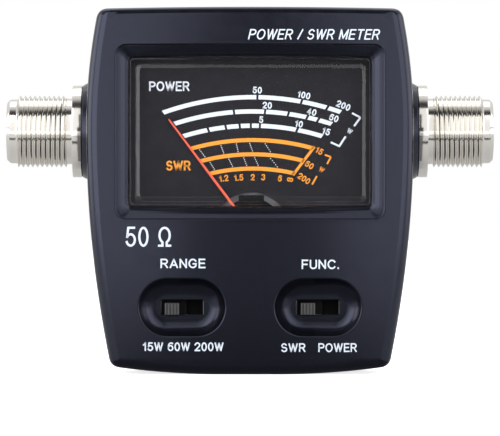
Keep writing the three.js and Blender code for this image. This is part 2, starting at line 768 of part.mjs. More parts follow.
function switchBox(centreX, inset, frontY, backY) {
  const halfWidth = FRAME.halfWidth - inset;
  const halfHeight = FRAME.halfHeight - inset;
  return box(
    centreX - halfWidth,
    centreX + halfWidth,
    frontY,
    backY,
    SWITCH_Z - halfHeight,
    SWITCH_Z + halfHeight,
  );
}

// A folded steel box, open at the back, with a window for the knob.
function switchFrame(centreX) {
  const { frontY, sheet } = FRAME;
  const shell = switchBox(centreX, 0, frontY, BOARD_Y - 0.05);
  const inside = switchBox(centreX, sheet, frontY + sheet, BOARD_Y + 1);
  const window = box(centreX - 4.6, centreX + 4.6, frontY - 1, frontY + 1, SWITCH_Z - 1.65, SWITCH_Z + 1.65);
  return cut(shell, inside, window);
}

// The insulating base that closes the steel box.
function switchBase(centreX) {
  return switchBox(centreX, FRAME.sheet + CLEAR, BOARD_Y - 1.25, BOARD_Y - 0.05);
}

// The knob that the finger moves, with its ribs, and the carriage that it is moulded to.
function switchSlider(centreX) {
  const { halfWidth, halfHeight, drop, topY, ribs } = SLIDER;
  const x = centreX + SLIDER_START;
  const z = SWITCH_Z - drop;
  const ribDepth = 0.35;
  const carriageY = FRAME.frontY + FRAME.sheet + CLEAR;
  const stem = box(x - halfWidth, x + halfWidth, topY, carriageY + 0.5, z - halfHeight, z + halfHeight);
  const carriage = box(x - 3.2, x + 3.2, carriageY, BOARD_Y - 1.4, SWITCH_Z - 2.4, SWITCH_Z + 2.4);
  const ribPitch = (2 * halfWidth) / (2 * ribs - 1);
  const grooves = spread(1, ribs - 1, ribs - 1).map((i) => {
    const left = x - halfWidth + (2 * i - 1) * ribPitch;
    return box(left, left + ribPitch, topY - 1, topY + ribDepth, z - 2, z + 2);
  });
  return cut(join(stem, carriage), ...grooves);
}

function controlBoard() {
  const holes = BOARD_POSTS.map(([x, z]) => rod('y', 1.3, BOARD_Y - 1, BOARD_Y + 3, [x, 0, z], 12));
  return cut(box(-22.5, 22.5, BOARD_Y, BOARD_Y + BOARD_THICKNESS, 3.6, 20.3), ...holes);
}

// A calibration trimmer on the back of the control board, with a slotted rotor.
function trimmer(x) {
  const y0 = BOARD_Y + BOARD_THICKNESS + 0.02;
  const z = 10.5;
  const body = box(x - 3, x + 3, y0, y0 + 3.4, z - 3, z + 3);
  const rotor = rod('y', 1.7, y0 + 3.2, y0 + 4, [x, 0, z], 16);
  const slot = box(x - 1.3, x + 1.3, y0 + 3.7, y0 + 5, z - 0.25, z + 0.25);
  return cut(join(body, rotor), slot);
}

// An insulated wire through hand-placed points.
function wire(points) {
  const path = new THREE.CatmullRomCurve3(points.map((p) => new THREE.Vector3(...p)));
  const section = new THREE.Shape().absarc(0, 0, 0.55, 0, 2 * Math.PI);
  return new THREE.ExtrudeGeometry(section, { steps: 18, extrudePath: path, curveSegments: 4 });
}

// ---------------------------------------------------------------- the assembly

const swrMeter = new THREE.Group();
const movingSystem = new THREE.Group();
movingSystem.position.set(METER_X, 0, PIVOT_Z);
movingSystem.rotation.y = -REST_ANGLE;
swrMeter.add(movingSystem);

function place(name, shape, look, parent = swrMeter) {
  const geometry = shape.isBufferGeometry ? shape : toGeometry(shape);
  const mesh = new THREE.Mesh(geometry, look);
  mesh.name = name;
  parent.add(mesh);
}

place('front_shell', frontShell(), casePlastic);
place('rear_shell', rearShell(), casePlastic);
POSTS.forEach((at, i) => {
  const seatY = BACK_Y - SCREW.recess + 0.02;
  const shape = screw(seatY, 1, SCREW.radius, SCREW.head, SCREW.headThickness, SCREW.tipY, at);
  place(`case_screw_${i + 1}`, shape, zincSteel);
});

for (const [name, side] of [['tx', -1], ['ant', 1]]) {
  place(`${name}_socket_body`, socketBody(side), nickel);
  place(`${name}_socket_insulator`, socketInsulator(side), whiteInsulator);
  place(`${name}_socket_contact`, socketContact(side), brass);
  place(`${name}_socket_nut`, socketNut(side), nickel);
}

place('coupler_chassis', couplerChassis(), zincSteel);
place('coupler_board', couplerBoard(), boardGreen);
COUPLER_STUDS.forEach((at, i) => {
  const shape = screw(COUPLER.frontY - 0.02, -1, 0.85, 1.8, 1, CHASSIS.plateY, at);
  place(`coupler_screw_${i + 1}`, shape, zincSteel);
});
place('main_line', rod('x', 1.3, -CONTACT.rear + 0.2, CONTACT.rear - 0.2, SOCKET_AXIS, 16), copper);
place('forward_sense_line', senseLine(3.4), copper);
place('reflected_sense_line', senseLine(-3.4), copper);
place('forward_diode', axialPart(-18.5, 53, 0.9, 1.8), glassBead);
place('reflected_diode', axialPart(18.5, 53, 0.9, 1.8), glassBead);

place('meter_window', meterWindow(), clearPlastic);
place('meter_case', meterCase(), innerPlastic);
place('movement_cover', movementCover(), innerPlastic);
METER_POSTS.forEach((at, i) => {
  const shape = screw(METER_FRONT_Y + 1.42, 1, 0.9, 2, 1.1, METER_FRONT_Y - 2, at);
  place(`meter_screw_${i + 1}`, shape, zincSteel);
});
place('dial_plate', dialPlate(), dialPaint);
place('yoke', yoke(), zincSteel);
place('core_magnet', core(), softIron);
place('core_support', coreSupport(), brass);
place('front_bridge', frontBridge(), innerPlastic);
place('rear_bridge', bridge(REAR_BRIDGE.front, REAR_BRIDGE.back, YOKE.backY), brass);
place('front_jewel_screw', jewelScrew(FRONT_BRIDGE.front - 0.02, -1, -8), brass);
place('rear_jewel_screw', jewelScrew(REAR_BRIDGE.back + 0.02, 1, 4.1), brass);
[-BRIDGE_REACH, BRIDGE_REACH].forEach((x, i) => {
  const at = [METER_X + x, PIVOT_Z];
  place(`bridge_screw_${i + 1}`, screw(FRONT_BRIDGE.front - 0.02, -1, 0.7, 1.3, 0.5, -3, at), zincSteel);
});
place('meter_tag_plus', meterTag(4), brass);
place('meter_tag_minus', meterTag(-4), brass);

place('needle', needle(), needlePaint, movingSystem);
place('moving_coil', coil(), copper, movingSystem);
place('front_pivot', pivotTip(COIL.frontY - 0.02, -7.95, -7.25), zincSteel, movingSystem);
place('rear_pivot', pivotTip(COIL.backY + 0.02, 4.05, 3), zincSteel, movingSystem);
place('front_hairspring', hairspring(-7.58, -7.28), brass, movingSystem);
place('rear_hairspring', hairspring(3.02, 3.32), brass, movingSystem);

for (const [name, x] of [['range', -SWITCH_X], ['function', SWITCH_X]]) {
  place(`${name}_switch_frame`, switchFrame(x), zincSteel);
  place(`${name}_switch_base`, switchBase(x), innerPlastic);
  place(`${name}_switch_slider`, switchSlider(x), innerPlastic);
}
place('control_board', controlBoard(), boardGreen);
BOARD_POSTS.forEach((at, i) => {
  const shape = screw(BOARD_Y + BOARD_THICKNESS + 0.02, 1, 0.9, 2, 1.1, BOARD_Y - 4, at);
  place(`board_screw_${i + 1}`, shape, zincSteel);
});
['15', '60', '200'].forEach((watts, i) => place(`trimmer_${watts}`, trimmer(-18.6 + 6.6 * i), trimmerBlue));

const tagY = WELL.backY + 3.7;
const boardBackY = BOARD_Y + BOARD_THICKNESS + 0.6;
place('meter_wire_plus', wire([
  [4, tagY, 26],
  [6, tagY + 1, 23],
  [9, tagY - 2, 20],
  [12, 3, 17.5],
  [13, boardBackY + 2, 16.5],
  [13, boardBackY, 16.5],
]), redWire);
place('meter_wire_minus', wire([
  [-4, tagY, 26],
  [-3, tagY + 1, 22.5],
  [2, tagY - 2, 19.5],
  [6, 3, 17],
  [7.5, boardBackY + 2, 16],
  [7.5, boardBackY, 16],
]), blackWire);

export default swrMeter;
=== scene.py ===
"""The looks of a small SWR and power meter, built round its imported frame.

Sizes are in millimetres until a mesh is made, and the studio's are in metres. The dial faces -Y and
+Z is up.
"""
import json
from itertools import accumulate
from math import acos, asin, ceil, cos, degrees, dist, pi, radians, sin, sqrt
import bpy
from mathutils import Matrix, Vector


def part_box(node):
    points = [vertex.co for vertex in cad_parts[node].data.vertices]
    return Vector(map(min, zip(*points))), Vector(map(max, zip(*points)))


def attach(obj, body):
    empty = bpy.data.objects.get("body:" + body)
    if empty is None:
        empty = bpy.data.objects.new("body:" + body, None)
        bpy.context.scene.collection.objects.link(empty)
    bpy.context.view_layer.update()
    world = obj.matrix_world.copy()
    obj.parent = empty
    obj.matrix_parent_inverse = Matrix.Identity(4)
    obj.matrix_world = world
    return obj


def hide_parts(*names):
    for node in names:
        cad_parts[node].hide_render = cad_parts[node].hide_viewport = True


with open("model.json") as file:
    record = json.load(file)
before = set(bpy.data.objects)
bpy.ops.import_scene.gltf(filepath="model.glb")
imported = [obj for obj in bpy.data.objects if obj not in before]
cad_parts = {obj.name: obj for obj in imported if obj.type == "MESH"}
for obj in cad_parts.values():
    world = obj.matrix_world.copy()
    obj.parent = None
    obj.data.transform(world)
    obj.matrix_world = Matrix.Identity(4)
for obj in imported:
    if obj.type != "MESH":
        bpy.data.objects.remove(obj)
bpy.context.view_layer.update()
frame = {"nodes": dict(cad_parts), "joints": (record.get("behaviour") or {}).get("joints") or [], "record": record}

from types import SimpleNamespace as Sizes

import bmesh
import bpy
from mathutils import Matrix, Vector
from mathutils.geometry import delaunay_2d_cdt

MM = 0.001

# ---------- places taken from the frame


def node_box(node):
    low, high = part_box(node)
    return low / MM, high / MM


def joint_point(name):
    joint = next(j for j in frame["joints"] if j["name"] == name)
    return Vector(joint["pos_m"]) / MM


SHELL_LOW, SHELL_HIGH = node_box("front_shell")
FRONT = SHELL_LOW.y
SEAM_FRONT = SHELL_HIGH.y
SEAM_REAR = node_box("rear_shell")[0].y
BACK = node_box("rear_shell")[1].y
SOCKET_LOW, SOCKET_HIGH = node_box("ant_socket_body")
SOCKET_Y = (SOCKET_LOW.y + SOCKET_HIGH.y) / 2
SOCKET_Z = (SOCKET_LOW.z + SOCKET_HIGH.z) / 2
PIVOT = joint_point("pointer_swing")
DIAL_LOW, DIAL_HIGH = node_box("dial_plate")
DIAL_Y = DIAL_LOW.y
NEEDLE_Y = node_box("needle")[0].y
WINDOW_FRONT = node_box("meter_window")[0].y

# ---------- sizes of the case

HALF_WIDTH = 36
HEIGHT = 80.6
WIDEST_Z = 54
UPPER_BULGE = 130
LOWER_BULGE = 253
BOTTOM_BOW = 175
TOP_BOW = 1650
FOOT_HALF = 6
LOW_CORNER = 1.9
HIGH_CORNER = 2.2
LEAST_CORNER = 0.35
CROWN_RADIUS = 400
WALL = 2.2
# The face's border is rounded, apart from a bevel along its top: radius, and the bevel's width and
# tilt in degrees.
EDGE = {"side": (2.4, 0, 0), "top": (1.6, 0.75, 34), "foot": (2.0, 0, 0)}
BACK_EDGE = {"side": (2.0, 0, 0), "top": (2.0, 0, 0), "foot": (2.0, 0, 0)}
LIP = 0.25  # chamfer along the seam
FRONT_WALL_BACK = -12.25  # flat inner side of the front wall

WELL = Sizes(width=29.5, height=19.2, z=53.2, corner=2.5, depth=2.75, slope=2.9)
DISH = Sizes(x=14.9, z=14.7, width=9.55, height=6.35, depth=2.6, slope=3.95, roundness=2.4)
SLOT = Sizes(width=4.7, height=1.65, corner=0.3)

REST_ANGLE = radians(36.8)  # the needle rests this far left of upright

# ---------- mesh tools


def spread(start, end, count):
    return [start + (end - start) * i / (count - 1) for i in range(count)]


def between(a, b, share):
    return tuple(p + (q - p) * share for p, q in zip(a, b))


def bend(start, corner, end, count):
    """The inner points of a quadratic curve that rounds a corner."""
    shares = [i / count for i in range(1, count)]
    return [between(between(start, corner, t), between(corner, end, t), t) for t in shares]


def eased(profile, radius, count=5):
    """A profile with each inner corner rounded."""
    points = [profile[0]]
    for before, corner, after in zip(profile, profile[1:], profile[2:]):
        start = between(corner, before, min(0.5, radius / dist(corner, before)))
        end = between(corner, after, min(0.5, radius / dist(corner, after)))
        points += [start, *bend(start, corner, end, count), end]
    return [*points, profile[-1]]


def rounded_rect(half_width, half_height, radius, centre=(0, 0), steps=8, across=1, up=1):
    """(x, z) points round a rectangle, with its straight sides cut into `across` and `up` parts."""
    points = []
    corners = ((1, -1, -90, up), (1, 1, 0, across), (-1, 1, 90, up), (-1, -1, 180, across))
    for side, rise, start, parts in corners:
        bend_x = centre[0] + side * (half_width - radius)
        bend_z = centre[1] + rise * (half_height - radius)
        for turn in spread(start, start + 90, steps + 1):
            angle = radians(turn)
            points.append((bend_x + radius * cos(angle), bend_z + radius * sin(angle)))
        if parts > 1:
            reach = 2 * ((half_height if start in (-90, 90) else half_width) - radius)
            x, z = points[-1]
            for part in range(1, parts):
                step = reach * part / parts
                points.append({
                    -90: (x, z + step), 0: (x - step, z), 90: (x, z - step), 180: (x + step, z)
                }[start])
    return points


def circle(radius, centre, steps=48):
    turns = [2 * pi * i / steps for i in range(steps)]
    return [(centre[0] + radius * cos(t), centre[1] + radius * sin(t)) for t in turns]


def raised(outline, y):
    """Lifts (x, z) points to depth y, which may depend on x."""
    return [(x, y(x) if callable(y) else y, z) for x, z in outline]


def encloses(polygon, point):
    inside = False
    for (x0, z0), (x1, z1) in zip(polygon, polygon[1:] + polygon[:1]):
        if (z0 > point[1]) != (z1 > point[1]):
            if point[0] < x0 + (x1 - x0) * (point[1] - z0) / (z1 - z0):
                inside = not inside
    return inside


class Skin:
    """The faces of one piece, put together loop by loop."""

    def __init__(self):
        self.points = []
        self.faces = []
        self.paints = []
        self.paint = 0  # index of the material that new faces get

    def add(self, *face):
        self.faces.append(face)
        self.paints.append(self.paint)

    def loop(self, points):
        first = len(self.points)
        self.points += [tuple(p) for p in points]
        return list(range(first, len(self.points)))

    def band(self, a, b, closed=True):
        count = len(a)
        for i in range(count if closed else count - 1):
            j = (i + 1) % count
            self.add(a[i], a[j], b[j], b[i])

    def bands(self, loops, closed=True):
        for a, b in zip(loops, loops[1:]):
            self.band(a, b, closed)

    def sheet(self, outer, holes=(), height=None, spacing=None):
        """Fills the space between an outer loop and its holes, through extra points `spacing` apart."""
        loops = [outer, *holes]
        known = [index for loop in loops for index in loop]
        flat = [(self.points[i][0], self.points[i][2]) for i in known]
        polygons = [[(self.points[i][0], self.points[i][2]) for i in loop] for loop in loops]
        edges = []
        for loop in loops:
            first = len(edges)
            edges += [(first + i, first + (i + 1) % len(loop)) for i in range(len(loop))]

        def clear(point):
            return encloses(polygons[0], point) and not any(encloses(p, point) for p in polygons[1:])

        if spacing:
            border = list(flat)
            columns, rows = (
                spread(min(line), max(line), max(3, int((max(line) - min(line)) / spacing)))
                for line in zip(*border)
            )
            for x in columns:
                for z in rows:
                    away = all(abs(x - p[0]) + abs(z - p[1]) > spacing / 2 for p in border)
                    if away and clear((x, z)):
                        flat.append((x, z))
        found = delaunay_2d_cdt([Vector(p) for p in flat], edges, [], 0, 1e-6)
        places, triangles, origins = found[0], found[2], found[3]
        index = []
        for place, origin in zip(places, origins):
            old = [known[o] for o in origin if o < len(known)]
            if not old:
                self.points.append((place.x, height(place.x), place.y))
            index.append(old[0] if old else len(self.points) - 1)
        for triangle in triangles:
            middle = sum((places[i] for i in triangle), Vector((0, 0))) / 3
            if clear(middle):
                self.add(*(index[i] for i in triangle))

    def solid(self, outline, front, back):
        """A flat plate with this outline, whose front is the -Y side."""
        a = self.loop(raised(outline, front))
        b = self.loop(raised(outline, back))
        self.sheet(a)
        self.band(a, b)
        self.sheet(b)


def scene_object(name, data):
    made = bpy.data.objects.new(name, data)
    bpy.context.scene.collection.objects.link(made)
    return made


def mesh_object(name, skin, smooth=35, weighted=False):
    mesh = bpy.data.meshes.new(name)
    mesh.from_pydata([Vector(p) * MM for p in skin.points], [], skin.faces)
    mesh.polygons.foreach_set("material_index", skin.paints)
    work = bmesh.new()
    work.from_mesh(mesh)
    bmesh.ops.remove_doubles(work, verts=work.verts, dist=1e-7)
    bmesh.ops.dissolve_degenerate(work, edges=work.edges, dist=1e-8)
    bmesh.ops.recalc_face_normals(work, faces=work.faces)
    work.to_mesh(mesh)
    work.free()
    mesh.shade_smooth()
    mesh.set_sharp_from_angle(angle=radians(smooth))
    piece = scene_object(name, mesh)
    if weighted:
        normals = piece.modifiers.new("even_normals", "WEIGHTED_NORMAL")
        normals.keep_sharp = True
    return piece


def settle(piece, body, slot, *replaces, paints=()):
    """Gives a piece its body and its paints, which are the slot's own where none are named."""
    for paint in paints or [slot]:
        piece.data.materials.append(MATERIALS[paint])
    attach(piece, body)
    if replaces:
        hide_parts(*replaces)


def bevelled(piece, width):
    bevel = piece.modifiers.new("rounded_edges", "BEVEL")
    bevel.width = width * MM
    bevel.segments = 2
    bevel.limit_method = "ANGLE"
    bevel.angle_limit = radians(40)
    bevel.harden_normals = True
    return piece


# ---------- materials


def fresh_material(name):
    material = bpy.data.materials.new(name)
    material.use_nodes = True
    tree = material.node_tree
    return material, tree, tree.nodes["Principled BSDF"]


def set_inputs(node, inputs):
    for key, value in inputs.items():
        node.inputs[key].default_value = value


def add_node(tree, kind, settings=None, **inputs):
    made = tree.nodes.new(kind)
    for key, value in (settings or {}).items():
        setattr(made, key, value)
    set_inputs(made, inputs)
    return made


def wire(tree, *links):
    """Connects each output to its input."""
    for source, target in links:
        tree.links.new(source, target)


def surface_noise(tree, size, stretch=(1, 1, 1)):
    """Noise fixed to the object, with features about `size` millimetres across."""
    place = add_node(tree, "ShaderNodeTexCoord")
    scaled = add_node(tree, "ShaderNodeMapping", Scale=tuple(s / (size * MM) for s in stretch))
    noise = add_node(tree, "ShaderNodeTexNoise", Scale=1, Detail=3)
    wire(
        tree,
        (place.outputs["Object"], scaled.inputs["Vector"]),
        (scaled.outputs["Vector"], noise.inputs["Vector"]),
    )
    return noise.outputs["Fac"]


def remapped(tree, value, low, high, start=0.3, stop=0.7, kind="LINEAR"):
    ends = {"From Min": start, "From Max": stop, "To Min": low, "To Max": high}
    span = add_node(tree, "ShaderNodeMapRange", {"interpolation_type": kind}, **ends)
    wire(tree, (value, span.inputs["Value"]))
    return span.outputs["Result"]


def mottled(tree, shader, color, amount, size):
    """A colour that drifts a little either side of its middle."""
    fac = surface_noise(tree, size)
    low, high = ((*(c * share for c in color), 1) for share in (1 - amount, 1 + amount))
    mix = add_node(tree, "ShaderNodeMix", {"data_type": "RGBA"}, A=low, B=high)
    wire(tree, (fac, mix.inputs["Factor"]), (mix.outputs["Result"], shader.inputs["Base Color"]))


def finish_material(
    name,
    color,
    roughness,
    metallic=0.0,
    specular=0.5,
    grain=0.3,
    depth=0.004,
    mottle=0.08,
    stretch=(1, 1, 1),
    tint=(1, 1, 1),
):
    """A surface with its own fine grain, `depth` mm deep, uneven polish and slight drift of colour."""
    material, tree, shader = fresh_material(name)
    set_inputs(shader, {"Metallic": metallic, "Specular IOR Level": specular, "Specular Tint": (*tint, 1)})
    mottled(tree, shader, color, mottle, 6)
    polish = remapped(tree, surface_noise(tree, 2.5), roughness * 0.88, roughness * 1.12)
    bump = add_node(tree, "ShaderNodeBump", Strength=1, Distance=depth * MM)
    wire(
        tree,
        (polish, shader.inputs["Roughness"]),
        (surface_noise(tree, grain, stretch), bump.inputs["Height"]),
        (bump.outputs["Normal"], shader.inputs["Normal"]),
    )
    return material


def window_clear():
    """Clear acrylic: light goes straight through it, apart from what its surfaces reflect."""
    material, tree, shader = fresh_material("clear_acrylic")
    tree.nodes.remove(shader)
    through = add_node(tree, "ShaderNodeBsdfTransparent", Color=(0.97, 0.97, 0.98, 1))
    gloss = add_node(tree, "ShaderNodeBsdfGlossy", Color=(1, 1, 1, 1))
    # Schlick's rule, so that the far side of the pane reflects no more than the near side does.
    facing = add_node(tree, "ShaderNodeLayerWeight", Blend=0.5)
    steep = add_node(tree, "ShaderNodeMath", {"operation": "POWER"})
    set_inputs(steep, {1: 5})
    share = add_node(tree, "ShaderNodeMath", {"operation": "MULTIPLY_ADD"})
    set_inputs(share, {1: 0.95, 2: 0.043})
    mix = add_node(tree, "ShaderNodeMixShader")
    wire(
        tree,
        (remapped(tree, surface_noise(tree, 9), 0.03, 0.06), gloss.inputs["Roughness"]),
        (facing.outputs["Facing"], steep.inputs[0]),
        (steep.outputs["Value"], share.inputs[0]),
        (share.outputs["Value"], mix.inputs["Fac"]),
        (through.outputs["BSDF"], mix.inputs[1]),
        (gloss.outputs["BSDF"], mix.inputs[2]),
        (mix.outputs["Shader"], tree.nodes["Material Output"].inputs["Surface"]),
    )
    return material


AROUND_X = (1, 0.02, 0.02)  # stretches grain into rings round the X axis

PRINT = {"specular": 0.2, "depth": 0.002}
FINISHES = {  # colour, roughness, metallic and what else each one needs
    "case_plastic": (
        (0.0019, 0.0022, 0.0036), 0.22, 0,
        {"specular": 0.66, "grain": 0.22, "depth": 0.002, "mottle": 0.06, "tint": (0.675, 0.715, 1.0)},
    ),
    "inner_plastic": ((0.0025, 0.0025, 0.003), 0.5, 0, {"specular": 0.12}),
    "slider_plastic": ((0.042, 0.041, 0.043), 0.4, 0, {}),
    "dial_paint": (
        (0.0125, 0.0120, 0.0150), 0.65, 0, {"specular": 0.25, "grain": 0.15, "depth": 0.0015, "mottle": 0.1}
    ),
    "needle_paint": ((0.78, 0.11, 0.055), 0.4, 0, {"grain": 0.4, "depth": 0.002}),
    "socket_nickel": (
        (0.74, 0.715, 0.67), 0.13, 1, {"grain": 0.12, "depth": 0.0012, "mottle": 0.03, "stretch": AROUND_X}
    ),
    "socket_insulator": ((0.82, 0.80, 0.74), 0.45, 0, {}),
    "contact_brass": ((0.72, 0.50, 0.20), 0.2, 1, {"depth": 0.002}),
    "screw_zinc": ((0.62, 0.63, 0.65), 0.28, 1, {"depth": 0.003}),
    "chassis_steel": ((0.60, 0.61, 0.63), 0.35, 1, {"depth": 0.003}),
    "soft_iron": ((0.045, 0.045, 0.048), 0.5, 0.8, {}),
    "copper": ((0.62, 0.22, 0.10), 0.3, 1, {}),
    "circuit_board": ((0.012, 0.10, 0.045), 0.4, 0, {"grain": 0.6, "mottle": 0.2}),
    "diode_glass": ((0.55, 0.16, 0.04), 0.12, 0, {}),
    "trimmer_plastic": ((0.03, 0.11, 0.40), 0.35, 0, {}),
    "red_wire": ((0.45, 0.02, 0.015), 0.45, 0, {}),
    "black_wire": ((0.012, 0.012, 0.012), 0.45, 0, {}),
    "dial_white": ((0.70, 0.755, 0.80), 0.6, 0, {**PRINT, "mottle": 0.02}),
    "dial_orange": ((0.86, 0.335, 0.042), 0.6, 0, {**PRINT, "mottle": 0.03}),
    "face_print": ((0.50, 0.55, 0.62), 0.55, 0, {**PRINT, "mottle": 0.03}),
    "bare_aluminium": ((0.62, 0.62, 0.68), 0.35, 1, {"depth": 0.002}),
}
MATERIALS = {
    name: finish_material(name, color, roughness, metallic, **rest)
    for name, (color, roughness, metallic, rest) in FINISHES.items()
}
MATERIALS["window_acrylic"] = window_clear()

slot_of = {part["node"]: part["material_slot"] for part in frame["record"]["subparts"]}
for node_name, node_object in frame["nodes"].items():
    node_object.data.materials.clear()
    node_object.data.materials.append(MATERIALS[slot_of[node_name]])

# ---------- the case


def face_y(x):
    return FRONT + x**2 / (2 * CROWN_RADIUS)


def case_outline(side=0.0, top=0.0, foot=0.0):
    """The case seen from the front, drawn in by these amounts."""

    def side_x(z):
        bulge = UPPER_BULGE if z > WIDEST_Z else LOWER_BULGE
        return HALF_WIDTH - side - (z - WIDEST_Z) ** 2 / (2 * bulge)

    def floor_z(x):
        return foot + max(0, x - FOOT_HALF) ** 2 / (2 * BOTTOM_BOW)

    def roof_z(x):
        return HEIGHT - top - x**2 / (2 * TOP_BOW)

    def corner(edge_z):
        x = HALF_WIDTH
        for _ in range(8):
            x = side_x(edge_z(x))
        return x, edge_z(x)

    low, high = corner(floor_z), corner(roof_z)
    low_leg = max(LOW_CORNER - (side + foot) / 2, LEAST_CORNER)
    high_leg = max(HIGH_CORNER - (side + top) / 2, LEAST_CORNER)
    floor = [(x, floor_z(x)) for x in spread(0, low[0] - low_leg, 16)]
    flank = [(side_x(z), z) for z in spread(low[1] + low_leg, high[1] - high_leg, 36)]
    roof = [(x, roof_z(x)) for x in spread(high[0] - high_leg, 0, 16)]
    low_bend = bend(floor[-1], low, flank[0], 9)
    high_bend = bend(flank[-1], high, roof[0], 9)
    right = floor + low_bend + flank + high_bend + roof
    return right + [(-x, z) for x, z in reversed(right[1:-1])]


def edge_section(radius, bevel, tilt, steps=7):
    """(draw, drop) from the wall to the face: how far in from the wall and how far below the face."""
    tilt = radians(tilt)
    total = radius * cos(tilt) + bevel * sin(tilt)
    turns = spread(pi / 2, tilt, steps)
    return [(radius * (1 - sin(t)), total - radius * cos(t)) for t in turns] + [
        (radius * (1 - sin(tilt)) + bevel * cos(tilt), 0)
    ]


def round_border(side, top, foot):
    """Spreads the values for side, top and foot over the points of case_outline."""
    low = spread(foot, side, 10)[1:-1]
    high = spread(side, top, 10)[1:-1]
    right = [foot] * 16 + low + [side] * 36 + high + [top] * 16
    return right + list(reversed(right[1:-1]))


def edge_loops(skin, edge, base, facing):
    """Loops round the edge, from the wall to the face at y = base(x)."""
    sections = [edge_section(*edge[part]) for part in ("side", "top", "foot")]
    loops = []
    for steps in zip(*sections):
        outline = case_outline(*(draw for draw, _ in steps))
        drops = round_border(*(drop for _, drop in steps))
        loops.append(skin.loop([(x, base(x) - facing * d, z) for (x, z), d in zip(outline, drops)]))
    return loops


def sunk(x, depth, full, floor_y):
    """Depth under the crowned face at x, easing into a flat floor at y = floor_y."""
    share = min(depth / full, 1)
    return face_y(x) * (1 - share) + floor_y * share + max(0, depth - full)


def well_loops(skin):
    """The window's well, from its rim on the face to the opening's far side."""
    wall_end = FRONT_WALL_BACK - FRONT
    steps = [(0.15, 0.45), (0.35, 0.5), (1.2, 0.98), (2, 1.55), (2.6, 2.2), (WELL.slope, WELL.depth)]
    profile = eased([(-0.9, 0), (0, 0), *steps, (WELL.slope, wall_end)], 0.22, 3)
    loops = []
    for inset, depth in profile:
        corner = WELL.corner - inset * 0.5
        size = WELL.width - inset, WELL.height - inset
        outline = rounded_rect(*size, corner, (0, WELL.z), across=24, up=14)
        floor_y = FRONT + WELL.depth
        loops.append(skin.loop([(x, sunk(x, depth, WELL.depth, floor_y), z) for x, z in outline]))
    skin.bands(loops)
    return loops[0], loops[-1]


def dish_loops(skin, centre_x):
    """A finger dish with the switch's slot in its floor."""
    floor_y = face_y(centre_x) + DISH.depth

    def bowl(share):
        return DISH.slope * share, DISH.depth * (1 - (1 - share) ** DISH.roundness)

    rim = eased([(-0.45, 0), (0, 0), bowl(0.08)], 0.2)
    profile = rim[:-1] + [bowl(share) for share in spread(0.08, 1, 16)]
    loops = []
    for inset, depth in profile:
        half_height = DISH.height - inset
        outline = rounded_rect(
            DISH.width - inset, half_height, half_height, (centre_x, DISH.z), steps=16, across=6
        )
        loops.append(skin.loop([(x, sunk(x, depth, DISH.depth, floor_y), z) for x, z in outline]))
    skin.bands(loops)
    slot = []
    for inset, depth in eased([(-0.25, 0), (0, 0), (0, FRONT_WALL_BACK - floor_y)], 0.14, 3):
        outline = rounded_rect(
            SLOT.width - inset, SLOT.height - inset, SLOT.corner - inset, (centre_x, DISH.z), 4
        )
        slot.append(skin.loop(raised(outline, floor_y + depth)))
    skin.bands(slot)
    skin.sheet(loops[-1], [slot[0]])
    return loops[0], slot[-1]


def boss(skin, side, facing, seam):
    """Half of the collar under a socket; `facing` is -1 for the front shell and 1 for the rear one."""
    profile = eased([(34.4, 6.2), (34.4, 11.9), (35.6, 11.0), (37.3, 10.15), (37.3, 6.2)], 0.35, 4)
    turns = spread(-pi / 2, pi / 2, 41)
    edge = abs(seam - SOCKET_Y)
    rings = []
    for along, radius in profile:
        reach = asin(edge / radius)
        angles = [t * (1 - 2 * reach / pi) for t in turns]
        rings.append(skin.loop([
            (side * along, SOCKET_Y + facing * radius * cos(t), SOCKET_Z + radius * sin(t))
            for t in angles
        ]))
    rings.append(rings[0])
    skin.bands(rings, closed=False)
    for end in (0, -1):
        skin.add(*(ring[end] for ring in rings[:-1]))


def shell_outside(skin, edge, base, seam, facing):
    """The seam's chamfer, the side wall and the rounded edge of the shell that faces this way along Y."""
    lip = skin.loop(raised(case_outline(LIP, LIP, LIP), seam))
    wall = skin.loop(raised(case_outline(), seam + facing * LIP))
    loops = edge_loops(skin, edge, base, facing)
    skin.bands([lip, wall, *loops])
    return lip, loops[-1]


def shell_inside(skin, holes, wall_y, seam, facing, lip):
    """The hollow side, from the far ends of the shell's holes to its seam, and its half of each collar."""
    inner = [skin.loop(raised(case_outline(WALL, WALL, WALL), y)) for y in (wall_y, seam)]
    skin.sheet(inner[0], holes)
    skin.bands([*inner, lip])
    for side in (-1, 1):
        boss(skin, side, facing, seam)


def front_shell():
    skin = Skin()
    lip, edge = shell_outside(skin, EDGE, face_y, SEAM_FRONT, -1)
    well_rim, well_end = well_loops(skin)
    dishes = [dish_loops(skin, side * DISH.x) for side in (-1, 1)]
    skin.sheet(edge, [well_rim, *(rim for rim, _ in dishes)], face_y, spacing=1.6)
    shell_inside(skin, [well_end, *(slot for _, slot in dishes)], FRONT_WALL_BACK, SEAM_FRONT, -1, lip)
    return mesh_object("front_shell_skin", skin, smooth=30, weighted=True)


CASE_SCREWS = [f"case_screw_{i + 1}" for i in range(4)]


def screw_place(node):
    low, high = node_box(node)
    return (low.x + high.x) / 2, (low.z + high.z) / 2


